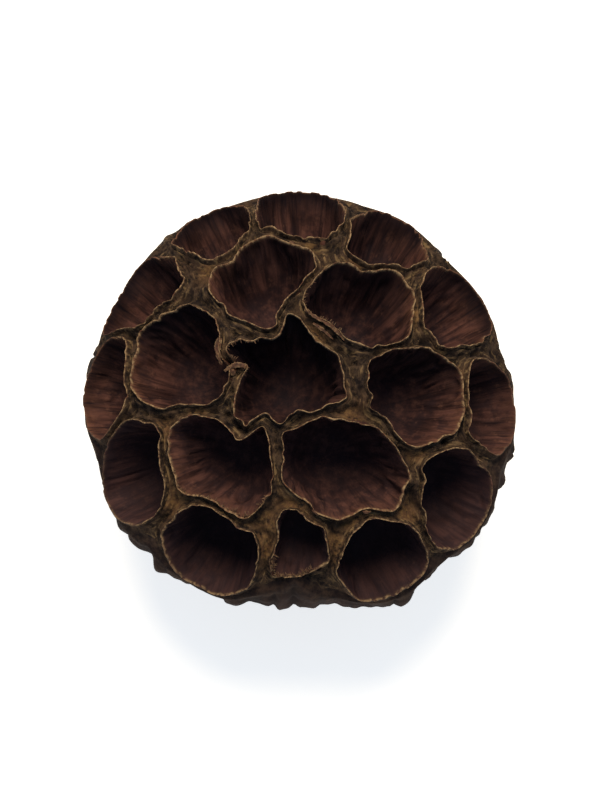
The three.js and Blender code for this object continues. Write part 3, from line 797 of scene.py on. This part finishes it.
def outer_wall():
    """The outer wall as a grid, columns anticlockwise and rows from the face's edge down to the cut: the
    profile wrapped round the outline, its lift moved by lengthwise creases and ribs, cross folds, lumps,
    dips between the cells, flutes and the outline's bulges, which fade in below the edge and fade out at
    the cut, and by a band of scars round the neck. It is held inside the CAD solid's box."""
    bearing = EDGE_BEARING
    heading = np.column_stack([np.cos(bearing), np.sin(bearing)])
    circle = WIDEST_RADIUS * heading
    arc = lerp(EDGE_ARC, ARC_END, np.linspace(0, 1, WALL_ROWS)[:, None])
    xy = arc[..., None] * heading
    plain = wrap(xy, -WALL_INSET)
    narrow = np.interp(arc, ARC, RADIUS) / WIDEST_RADIUS
    fade = smoothstep(arc - EDGE_ARC, 0, WALL_FADE) * (1 - smoothstep(arc, ARC_END - WALL_FADE, ARC_END))
    groove = bell(form_noise(WALL_RIDGE, circle, arc), WALL_CREASE_SHARPNESS)
    form = -WALL_RIDGE[0] * groove * np.sqrt(narrow)
    form = form + relief(WALL_RIB, circle, arc) * np.sqrt(narrow)
    form = form + relief(WALL_FOLD, circle, arc)
    height, size = WALL_LUMP
    form = form + height * layered_noise(plain / size, 3) * np.sqrt(narrow)
    height, span, reach = WALL_DIP
    dip = np.clip((smoothed(EDGE_ARC, DIP_SMOOTHING) + DIP_MARGIN - EDGE_ARC) / span, 0, 1)
    form = form - height * dip * np.exp(-(arc - EDGE_ARC) / reach)
    height, flutes, low, high = WALL_FLUTE
    sway = relief(FLUTE_SWAY, circle, arc)
    crease = (1 - np.abs(np.sin(bearing * flutes / 2 + sway))) ** 2
    form = form - height * crease * smoothstep(arc, low, high)
    for at, out, size, height in WALL_BULGES:
        turn = bearing - np.radians(at)
        aside = out * np.arctan2(np.sin(turn), np.cos(turn))
        form = form + height * np.exp(-(aside ** 2 + ((arc - out) / BULGE_STRETCH) ** 2) / size ** 2)
    from_cut = ARC_END - arc
    band = smoothstep(from_cut, *SCAR_STARTS) * (1 - smoothstep(from_cut, *SCAR_ENDS))
    scars = np.abs(relief(WALL_SCAR, circle * NECK_RADIUS / WIDEST_RADIUS, arc))
    lift = -WALL_INSET + form * fade + SCAR_HEIGHT * (scars - SCAR_LEVEL) * band
    points = wrap(xy, lift)
    for axis in range(2):
        points[..., axis] = held(points[..., axis], cad_box[0][axis] / MM, cad_box[1][axis] / MM)
    points[-1, :, 2] = 0
    upper = lerp(LOWER_PITH_SHARE, 1, smoothstep(np.sin(bearing), *LOWER_PITH_SIDE))
    pith = upper * (1 - smoothstep(arc - EDGE_ARC, *PITH_OVER_EDGE))
    strand_down = (arc * WALL_STRAND_STRETCH)[..., None]
    strand = np.concatenate([np.broadcast_to(circle, arc.shape + (2,)), strand_down], axis=-1)
    return points, groove * fade, pith, strand


def cut_face(ring):
    """The cut as rings drawn in from the wall's last row: flat, with rings of air canals sunk into it as
    round dents, and low fibres."""
    share = np.linspace(1, 0, CUT_ROWS + 1)[1:-1, None, None]
    points = ring * share
    bearing = np.arctan2(points[..., 1], points[..., 0])
    radius = np.hypot(points[..., 0], points[..., 1])
    canal = np.zeros(radius.shape)
    for count, out, size in CANAL_RINGS:
        spoke = FULL_TURN / count
        aside = radius * np.abs(np.mod(bearing + out, spoke) - spoke / 2)
        away = np.hypot(aside, radius - out)
        canal = np.maximum(canal, 1 - smoothstep(away, size * CANAL_FLOOR_SHARE, size))
    height, size = CUT_FIBRE
    points[..., 2] = CANAL_DEPTH * canal + height * np.abs(layered_noise(points / size, 2)) * (1 - canal)
    return points, canal


def inside(loop, points):
    """Whether points lie in a loop: a ray to the right crosses its sides an odd number of times."""
    x, y = points[:, :1], points[:, 1:]
    ax, ay = loop.T
    bx, by = np.roll(loop, -1, axis=0).T
    spans = (ay > y) != (by > y)
    rise = np.where(by == ay, TINY, by - ay)
    return (spans & (x < ax + (y - ay) * (bx - ax) / rise)).sum(axis=1) % 2 == 1


def in_some_mouth(points):
    """Whether points lie inside the foot of any lip."""
    found = np.zeros(len(points), bool)
    for _, foot, _ in LIPS:
        near = np.all((points > foot.min(axis=0)) & (points < foot.max(axis=0)), axis=1)
        found[near] |= inside(foot, points[near])
    return found


def web_mesh(edge):
    """The web on the flattened dome: jittered points of a square grid between the face's edge and the lips'
    feet, joined with both into triangles. Gives all points, edge first, then feet, the triangles, each
    point's gap to the nearest loop and its place among fibres that run along that loop."""
    span = np.arange(-WEB_REACH, WEB_REACH, WEB_STEP)
    spread = np.stack(np.meshgrid(span, span), axis=-1).reshape(-1, 2)
    spread = spread + rng.uniform(-WEB_JITTER, WEB_JITTER, spread.shape) * WEB_STEP
    spread = spread[from_edge(spread) > WEB_EDGE_GAP]
    spread = spread[~in_some_mouth(spread)]
    gap, which = nearest(spread, np.vstack([edge, FEET]))
    clear = gap > WEB_LOOP_GAP
    spread, gap, which = spread[clear], gap[clear], which[clear]
    points = np.vstack([edge, FEET, spread])
    loops = [np.arange(len(edge))]
    loops += [len(edge) + k * MOUTH_POINTS + np.arange(MOUTH_POINTS) for k in range(len(LIPS))]
    sides = np.vstack([np.column_stack([loop, np.roll(loop, -1)]) for loop in loops])
    made = delaunay_2d_cdt(list(map(Vector, points.tolist())), sides.tolist(), [], 0, MERGE_DISTANCE)
    corners = np.array(list(map(tuple, made[0])))
    faces = np.array(made[2])
    origin = np.array([first[0] if first else -1 for first in made[3]])
    extra = np.flatnonzero(origin < 0)
    origin[extra] = len(points) + np.arange(len(extra))
    points = np.vstack([points, corners[extra]])
    on_loops = len(edge) + len(FEET)
    gap = np.concatenate([np.zeros(on_loops), gap, np.zeros(len(extra))])
    which = np.concatenate([np.arange(on_loops), which, np.zeros(len(extra), int)])
    rail = np.vstack([edge] + [circle for _, _, circle in LIPS])
    loop_seed = LOOP_SEED * np.repeat(np.arange(len(loops)), [len(loop) for loop in loops])
    along, across = WEB_FIBRE
    fibre = np.column_stack([rail[which] * along, gap * across + loop_seed[which]])
    a, b, c = (corners[faces[:, i]] for i in range(3))
    area = (b[:, 0] - a[:, 0]) * (c[:, 1] - a[:, 1]) - (b[:, 1] - a[:, 1]) * (c[:, 0] - a[:, 0])
    faces = np.where((area < 0)[:, None], faces[:, ::-1], faces)
    centre = (a + b + c) / 3
    keep = (from_edge(centre) > 0) & ~in_some_mouth(centre) & (np.abs(area) > TINY)
    return points, origin[faces[keep]], gap, fibre


def ochre_share(xy):
    """How ochre the pith is: the highest of a bell round each listed patch."""
    return np.exp(-((xy[:, None] - OCHRE[:, :2]) ** 2).sum(axis=-1) / OCHRE[:, 2] ** 2).max(axis=1)


def web_points(xy, gap, fibre):
    """The web's points on the pod: its level, sagging between the lips, with crumbly pith, fibres along the
    lips and pits, all lower where the pith is ochre and towards the face's edge. Gives the points and how
    hollow they lie."""
    level = web_level(xy)
    plain = wrap(xy, level)
    crumb_height, crumb_size = WEB_PITH
    pit_depth, pit_size = WEB_PIT
    thread_height, thread_size = WEB_THREAD
    crumb = crumb_height * layered_noise(plain / crumb_size, 4)
    crumb = crumb + thread_height * (THREAD_LEVEL - np.abs(noise(fibre / thread_size)))
    pit = pit_depth * smoothstep(noise(plain / pit_size + PIT_SEED), *WEB_PIT_BAND)
    towards_edge = smoothstep(arc_of(xy), *VALLEY_ENDS)
    calm = (1 - OCHRE_CALM * ochre_share(xy)) * lerp(1, EDGE_CALM, towards_edge)
    inner = smoothstep(gap, 0, WEB_RELIEF_STARTS) * calm
    lift = level - WEB_SAG * smoothstep(gap, *WEB_SAG_ENDS) + (crumb - pit) * inner
    return wrap(xy, lift), inner * np.clip((pit - crumb) / WEB_HOLLOW, 0, 1)


def pod_body():
    """The web, the outer wall and the cut as one skin: they share the points of the face's edge and of the
    wall's last row, and carry the values that their finish is mixed by."""
    wall, wall_groove, wall_pith, wall_strand = outer_wall()
    rows, columns = wall.shape[:2]
    cut, canal = cut_face(wall[-1])
    edge = EDGE_ARC[:, None] * np.column_stack([np.cos(EDGE_BEARING), np.sin(EDGE_BEARING)])
    flat, web_faces, gap, fibre = web_mesh(edge)
    web, pit = web_points(flat, gap, fibre)
    tip = (rows + len(cut)) * columns
    number = np.concatenate([np.arange(columns), tip + 1 + np.arange(len(flat) - columns)])
    points = np.vstack([wall.reshape(-1, 3), cut.reshape(-1, 3), [[0, 0, 0]], web[columns:]])
    cut_faces = grid_faces(len(cut) + 1, columns, (rows - 1) * columns)
    tip_faces = fan_faces(columns, tip - columns, tip)
    faces = [grid_faces(rows, columns), cut_faces, tip_faces, number[web_faces]]
    finish = np.repeat([0, 1, 1, 0], [len(part) for part in faces])

    inner = flat[columns:]
    web_pith = lerp(at_bearing(inner, wall_pith[0]), 1, smoothstep(from_edge(inner), *PITH_FROM_EDGE))
    nothing = np.zeros(len(cut) * columns + 1)
    values = {
        "pith": np.concatenate([wall_pith.ravel(), nothing, web_pith]),
        "ochre": np.concatenate([np.zeros(rows * columns), nothing, ochre_share(inner)]),
        "groove": np.concatenate([wall_groove.ravel(), canal.ravel(), [0], pit[columns:]]),
        "strand": np.vstack([wall_strand.reshape(-1, 3), cut.reshape(-1, 3), [[0, 0, 0]], fibre[columns:]]),
    }
    return points, faces, values, finish


def add_piece(name, slot, points, faces, values, materials, finish=None):
    """Makes a mesh piece from arrays, with its values as attributes, smooth faces and its finishes, and
    says that it rides on the pod's one body in place of the CAD solid."""
    mesh = bpy.data.meshes.new(name)
    mesh.from_pydata((points * MM).tolist(), [], [face for part in faces for face in part.tolist()])
    for key, value in values.items():
        kind, field = ("FLOAT_VECTOR", "vector") if value.ndim == 2 else ("FLOAT", "value")
        attribute = mesh.attributes.new(key, kind, "POINT")
        attribute.data.foreach_set(field, np.ascontiguousarray(value, dtype=np.float32).ravel())
    mesh.polygons.foreach_set("use_smooth", np.ones(len(mesh.polygons), bool))
    for material in materials:
        mesh.materials.append(material)
    if finish is not None:
        mesh.polygons.foreach_set("material_index", finish.astype(np.int32))
    mesh.update()
    piece = bpy.data.objects.new(name, mesh)
    bpy.context.scene.collection.objects.link(piece)
    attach(piece, "root")
    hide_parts("lotus_pod")


def joined(parts):
    """Several surfaces as one: points and values end to end, faces renumbered to match."""
    offset = np.cumsum([0] + [len(points) for points, _, _ in parts])
    points = np.vstack([part[0] for part in parts])
    faces = [face + shift for (_, group, _), shift in zip(parts, offset) for face in group]
    values = {key: np.concatenate([part[2][key] for part in parts]) for key in parts[0][2]}
    return points, faces, values


def tint(red, green, blue):
    """A display colour from 0 to 255 as linear light with full alpha."""
    def linear(value):
        """Undoes the display curve: straight near black, a power of 2.4 above."""
        value = value / 255
        return value / 12.92 if value < 0.04045 else ((value + 0.055) / 1.055) ** 2.4
    return (linear(red), linear(green), linear(blue), 1.0)


# Colours of the dried tissue, and of the light and shade painted onto it. A pair runs from dark to light
PITH_TAUPE = (tint(30, 22, 17), tint(74, 56, 39))
PITH_OLIVE = tint(76, 54, 36)
PITH_THREAD = tint(138, 108, 68)
PITH_DARK_THREAD = tint(20, 15, 12)
PITH_SPECK = tint(22, 17, 14)
# Painted shade in the web's hollows
PITH_HOLLOW = tint(24, 18, 15)
PITH_OCHRE = (tint(92, 63, 38), tint(118, 85, 46))
LINING_BROWN = (tint(27, 17, 17), tint(104, 66, 53))
LINING_BLOTCH = tint(40, 28, 28)
LINING_WORN = tint(126, 84, 64)
# Painted light under the rim, which is also the torn strips' own orange-tan
LINING_RIM = tint(130, 82, 54)
# Painted shade towards the cells' floors
LINING_DEEP = tint(36, 23, 23)
# Painted flat cool light of the lower cells
LINING_PAINTED_FLAT_LIGHT = tint(60, 43, 41)
# Painted shade of the cells
LINING_SHADE = tint(18, 12, 14)
# Painted shade in the cells' creases
LINING_CREASE = tint(24, 13, 13)
LINING_STREAK = tint(30, 18, 17)
LIP_TAN = (tint(96, 70, 45), tint(158, 126, 84))
SKIN_BROWN = (tint(33, 22, 19), tint(56, 40, 33))
SKIN_BLOTCH = tint(46, 33, 28)
SKIN_STREAK = tint(36, 28, 26)
SKIN_SPOT = tint(34, 25, 23)
# Painted shade in the wall's creases
SKIN_CREASE = tint(26, 18, 16)
CUT_PALE = (tint(112, 90, 66), tint(168, 142, 108))
# Painted shade in the air canals
CUT_CANAL = tint(44, 32, 26)


class Finish:
    """A procedural material under construction: its node tree, its shader and short calls for the nodes."""

    def __init__(self, name):
        """Starts a material, with the piece's Object coordinates scaled to millimetres as its place."""
        self.material = bpy.data.materials.new(name)
        self.material.use_nodes = True
        self.tree = self.material.node_tree
        self.shader = self.tree.nodes["Principled BSDF"]
        place = self.node("ShaderNodeTexCoord").outputs["Object"]
        scaled = self.node("ShaderNodeVectorMath", {0: place, "Scale": 1 / MM}, operation="SCALE")
        self.place = scaled.outputs["Vector"]

    def node(self, kind, inputs=None, **settings):
        """Adds a node. An input that is a socket is linked, and any other value is set."""
        made = self.tree.nodes.new(kind)
        for key, value in settings.items():
            setattr(made, key, value)
        for key, value in (inputs or {}).items():
            if isinstance(value, bpy.types.NodeSocket):
                self.tree.links.new(value, made.inputs[key])
            else:
                made.inputs[key].default_value = value
        return made

    def value(self, name):
        """The piece's own number of that name."""
        return self.node("ShaderNodeAttribute", attribute_name=name).outputs["Fac"]

    def vector(self, name):
        """The piece's own vector of that name."""
        return self.node("ShaderNodeAttribute", attribute_name=name).outputs["Vector"]

    def grain(self, vector, scale, detail=3.0, rough=0.55):
        """Noise on a vector in millimetres."""
        inputs = {"Vector": vector, "Scale": scale, "Detail": detail, "Roughness": rough}
        return self.node("ShaderNodeTexNoise", inputs).outputs["Fac"]

    def band(self, value, low, high):
        """A smooth rise of a value from 0 at low to 1 at high."""
        inputs = {"Value": value, "From Min": low, "From Max": high}
        return self.node("ShaderNodeMapRange", inputs, interpolation_type="SMOOTHSTEP").outputs["Result"]

    def fall(self, value, low, high):
        """A smooth fall of a value from 1 at low to 0 at high."""
        return self.math("SUBTRACT", 1.0, self.band(value, low, high))

    def math(self, operation, a, b):
        """Two numbers joined by an operation."""
        return self.node("ShaderNodeMath", {0: a, 1: b}, operation=operation).outputs[0]

    def mix(self, share, a, b):
        """Two colours mixed by a share."""
        return self.node("ShaderNodeMix", {0: share, 6: a, 7: b}, data_type="RGBA").outputs[2]

    def blend(self, share, a, b):
        """Two numbers mixed by a share."""
        return self.node("ShaderNodeMix", {0: share, 2: a, 3: b}).outputs[0]

    def stain(self, under, over, amount, share):
        """A colour laid over another by an amount times a share."""
        return self.mix(self.math("MULTIPLY", amount, share), under, over)

    def set(self, **inputs):
        """Sets or links the shader's inputs, named with underscores for spaces."""
        for key, value in inputs.items():
            socket = self.shader.inputs[key.replace("_", " ")]
            if isinstance(value, bpy.types.NodeSocket):
                self.tree.links.new(value, socket)
            else:
                socket.default_value = value

    def bump(self, height, depth, strength=1.0, under=None):
        """Relief of a depth in millimetres, on top of another relief if one is given."""
        inputs = {"Height": height, "Distance": depth * MM, "Strength": strength}
        if under is not None:
            inputs["Normal"] = under
        return self.node("ShaderNodeBump", inputs).outputs["Normal"]


def pith_colour(made, fibre, pale):
    """Crumbly pith: taupe with olive patches, pale and dark threads along the fibre vector and dark specks.
    Pale is how strongly the pale threads show. Gives the colour and its crumbs."""
    crumb = made.grain(made.place, 0.75, 4.0, 0.62)
    thread = made.grain(fibre, 0.9, 4.0, 0.62)
    blotch = made.grain(made.place, 0.16, 3.0)
    colour = made.mix(made.band(crumb, 0.36, 0.68), *PITH_TAUPE)
    colour = made.stain(colour, PITH_OLIVE, made.band(blotch, 0.44, 0.66), 0.5)
    colour = made.stain(colour, PITH_THREAD, made.band(thread, 0.52, 0.68), pale)
    colour = made.stain(colour, PITH_DARK_THREAD, made.fall(thread, 0.34, 0.46), 0.7)
    colour = made.stain(colour, PITH_SPECK, made.fall(crumb, 0.34, 0.46), 0.5)
    return colour, crumb


def cell_lining():
    """Lining of the cells: dark brown to reddish brown in streaks that run down the walls and lose
    themselves in blotches on the floor, with worn patches and a warm band under the rim that is painted
    light, a painted flat cool light in the lower cells, and painted shade towards the floors, over whole
    cells, on the walls towards +Y and in the creases. The lip has a thin tan line, broken by noise, and
    pith on its outer side."""
    made = Finish("cell_lining")
    strand = made.vector("strand")
    low = made.math("MULTIPLY", made.band(made.value("depth"), 0.5, 0.95), 0.7)
    blotch = made.grain(made.place, 0.24, 4.0, 0.6)
    patch = made.grain(made.place, 0.5, 4.0, 0.65)
    streak = made.blend(low, made.grain(strand, 0.6, 4.0, 0.6), patch)
    fine = made.blend(low, made.grain(strand, 2.0, 3.0, 0.6), patch)
    colour = made.mix(made.band(streak, 0.34, 0.68), *LINING_BROWN)
    colour = made.stain(colour, LINING_BLOTCH, made.band(blotch, 0.46, 0.62), 0.75)
    worn = made.math("MULTIPLY", made.band(patch, 0.52, 0.7), made.band(fine, 0.35, 0.6))
    colour = made.stain(colour, LINING_WORN, worn, 0.5)
    # Warm band under the rim: painted light where the walls near the rim catch the light; on the torn
    # strips the same colour is their own orange-tan
    rim = made.math("MULTIPLY", made.value("rim"), made.band(fine, 0.25, 0.7))
    colour = made.stain(colour, LINING_RIM, rim, 0.85)
    # Painted shade, darker towards the cells' floors
    colour = made.stain(colour, LINING_DEEP, made.band(made.value("depth"), 0.3, 0.9), 0.55)
    # Painted flat cool light in the lower cells: a flat purple-grey that stands in for the softer, cooler
    # light on them
    colour = made.mix(made.value("dull"), colour, LINING_PAINTED_FLAT_LIGHT)
    # Painted shade: whole cells, the walls towards +Y in the upper cells and the lining at the outermost
    # lips towards +Y
    colour = made.mix(made.value("shade"), colour, LINING_SHADE)
    # Painted shade in the creases
    colour = made.stain(colour, LINING_CREASE, made.value("groove"), 0.65)
    colour = made.stain(colour, LINING_STREAK, made.band(fine, 0.55, 0.75), 0.2)
    pith, _ = pith_colour(made, made.place, 0.7)
    colour = made.mix(made.value("flank"), colour, pith)
    chaff = made.grain(made.place, 1.3, 4.0, 0.65)
    edge = made.math("MULTIPLY", made.value("lip"), made.band(chaff, 0.28, 0.56))
    lip = made.mix(made.band(chaff, 0.4, 0.62), *LIP_TAN)
    colour = made.mix(edge, colour, lip)
    rough = made.node("ShaderNodeMapRange", {"Value": fine, "To Min": 0.58, "To Max": 0.85})
    bumps = made.bump(fine, 0.16, 0.8)
    bumps = made.bump(chaff, 0.1, 0.5, bumps)
    made.set(Base_Color=colour, Roughness=rough.outputs["Result"], Normal=bumps, Specular_IOR_Level=0.06)
    return made.material


def pod_skin():
    """Skin of the wall, grey-brown in lengthwise streaks with blotches and spots, with painted shade in the
    creases, and crumbly pith on the web, with ochre patches and painted shade in its hollows."""
    made = Finish("pod_skin")
    strand = made.vector("strand")
    streak = made.grain(strand, 0.5, 4.0, 0.6)
    fine = made.grain(strand, 2.2, 3.0, 0.6)
    blotch = made.grain(made.place, 0.16, 3.0)
    spot = made.grain(made.place, 0.42, 4.0, 0.65)
    skin = made.mix(made.band(streak, 0.32, 0.7), *SKIN_BROWN)
    skin = made.mix(made.band(blotch, 0.42, 0.7), skin, SKIN_BLOTCH)
    skin = made.stain(skin, SKIN_STREAK, made.band(fine, 0.52, 0.74), 0.4)
    skin = made.stain(skin, SKIN_SPOT, made.band(spot, 0.58, 0.7), 0.6)
    # Painted shade in the wall's creases
    skin = made.stain(skin, SKIN_CREASE, made.value("groove"), 0.75)
    pale = made.math("MULTIPLY", made.band(made.value("pith"), 0.6, 1.0), 0.7)
    pith, crumb = pith_colour(made, strand, pale)
    patch = made.math("MULTIPLY", made.value("ochre"), made.band(crumb, 0.3, 0.55))
    flake = made.grain(made.place, 1.4, 3.0)
    ochre = made.mix(made.band(flake, 0.42, 0.66), *PITH_OCHRE)
    pith = made.stain(pith, ochre, patch, 0.85)
    # Painted shade in the web's hollows
    pith = made.stain(pith, PITH_HOLLOW, made.value("groove"), 0.65)
    colour = made.mix(made.value("pith"), skin, pith)
    bumps = made.bump(fine, 0.2, 0.7)
    bumps = made.bump(crumb, 0.35, 0.6, bumps)
    made.set(Base_Color=colour, Roughness=0.88, Normal=bumps, Specular_IOR_Level=0.08)
    return made.material


def cut_pith():
    """The cut: pale fibrous pith, with painted shade in the air canals."""
    made = Finish("cut_pith")
    crumb = made.grain(made.place, 1.5, 4.0, 0.65)
    colour = made.mix(made.band(crumb, 0.3, 0.7), *CUT_PALE)
    # Painted shade in the air canals
    colour = made.mix(made.value("groove"), colour, CUT_CANAL)
    made.set(Base_Color=colour, Roughness=0.9, Normal=made.bump(crumb, 0.25, 0.7), Specular_IOR_Level=0.2)
    return made.material


lining = cell_lining()
skin = pod_skin()
pith = cut_pith()
cells = [seed_cell(k) for k in range(len(MOUTHS))]
add_piece("inner_cells", "cell_lining", *joined(cells[OUTER_CELLS:]), [lining])
add_piece("outer_cells_right", "cell_lining", *joined(cells[:RIGHT_CELLS]), [lining])
add_piece("outer_cells_left", "cell_lining", *joined(cells[RIGHT_CELLS:OUTER_CELLS]), [lining])
add_piece("torn_edges", "pith", *torn_edges(), [lining])
points, faces, values, finish = pod_body()
add_piece("pod_body", "pod_skin", points, faces, values, [skin, pith], finish)


# Floor, light and camera, in metres, watts and degrees
FLOOR_HALF = 1.5
FLOOR_DROP = 0.0004
LIGHT_DISTANCE = 0.9
KEY_ELEVATION = 68.0
KEY_SIZE = 0.52
KEY_POWER = 8.7
KEY_COLOUR = (1.0, 0.93, 0.84)
SKY = 0.55
SKY_COLOUR = (0.42, 0.6, 1.0, 1)
BACKDROP_COLOUR = (1, 1, 1, 1)
FLOOR_COLOUR = (0.85, 0.74, 0.54, 1)
FLOOR_GLOW = 0.7
FLOOR_GLOW_COLOUR = (1, 1, 1, 1)
FLOOR_ROUGHNESS = 0.95
FLOOR_SPECULAR = 0.1
CAMERA_DISTANCE = 0.42
CAMERA_ELEVATION = 72.0
CAMERA_LENS = 91.56
CAMERA_NEAR = 0.01
AIM = (0.0, -0.0006, 0.0378)


def floor():
    """A plain pale floor just under the cut: one square, with a glow that keeps it pale."""
    half = FLOOR_HALF
    mesh = bpy.data.meshes.new("floor")
    corners = [(-half, -half), (half, -half), (half, half), (-half, half)]
    mesh.from_pydata([(x, y, -FLOOR_DROP) for x, y in corners], [], [(0, 1, 2, 3)])
    made = bpy.data.materials.new("floor")
    made.use_nodes = True
    shader = made.node_tree.nodes["Principled BSDF"]
    shader.inputs["Base Color"].default_value = FLOOR_COLOUR
    shader.inputs["Roughness"].default_value = FLOOR_ROUGHNESS
    shader.inputs["Specular IOR Level"].default_value = FLOOR_SPECULAR
    shader.inputs["Emission Color"].default_value = FLOOR_GLOW_COLOUR
    shader.inputs["Emission Strength"].default_value = FLOOR_GLOW
    mesh.materials.append(made)
    plane = bpy.data.objects.new("floor", mesh)
    bpy.context.scene.collection.objects.link(plane)


def studio():
    """A dim bluish sky that fills the shadows. Where the camera sees it, it is a plain white backdrop."""
    world = bpy.data.worlds.new("studio")
    world.use_nodes = True
    tree = world.node_tree
    sky = tree.nodes["Background"]
    sky.inputs["Color"].default_value = SKY_COLOUR
    sky.inputs["Strength"].default_value = SKY
    backdrop = tree.nodes.new("ShaderNodeBackground")
    backdrop.inputs["Color"].default_value = BACKDROP_COLOUR
    seen = tree.nodes.new("ShaderNodeLightPath")
    choice = tree.nodes.new("ShaderNodeMixShader")
    tree.links.new(seen.outputs["Is Camera Ray"], choice.inputs[0])
    tree.links.new(sky.outputs[0], choice.inputs[1])
    tree.links.new(backdrop.outputs[0], choice.inputs[2])
    tree.links.new(choice.outputs[0], tree.nodes["World Output"].inputs["Surface"])
    bpy.context.scene.world = world


def look_from(thing, place, target):
    """Puts a light or camera at a place, looking at a target with its top towards +Y or up."""
    thing.location = place
    thing.rotation_mode = "QUATERNION"
    thing.rotation_quaternion = (Vector(target) - Vector(place)).to_track_quat("-Z", "Y")
    bpy.context.scene.collection.objects.link(thing)


def soft_light(name, elevation, size, power, colour):
    """A round soft light behind the pod, raised by an elevation in degrees and turned to the pod."""
    lamp = bpy.data.lights.new(name, "AREA")
    lamp.shape = "DISK"
    lamp.size = size
    lamp.energy = power
    lamp.color = colour
    rise = math.radians(elevation)
    place = (0, LIGHT_DISTANCE * math.cos(rise), LIGHT_DISTANCE * math.sin(rise))
    look_from(bpy.data.objects.new(name, lamp), place, AIM)


floor()
soft_light("key", KEY_ELEVATION, KEY_SIZE, KEY_POWER, KEY_COLOUR)
studio()
bpy.context.scene.view_settings.view_transform = "Standard"

lens = bpy.data.cameras.new("camera")
lens.lens = CAMERA_LENS
lens.clip_start = CAMERA_NEAR
camera = bpy.data.objects.new("camera", lens)
tilt = math.radians(CAMERA_ELEVATION)
back = (AIM[0], AIM[1] - CAMERA_DISTANCE * math.cos(tilt), AIM[2] + CAMERA_DISTANCE * math.sin(tilt))
look_from(camera, back, AIM)
bpy.context.scene.camera = camera
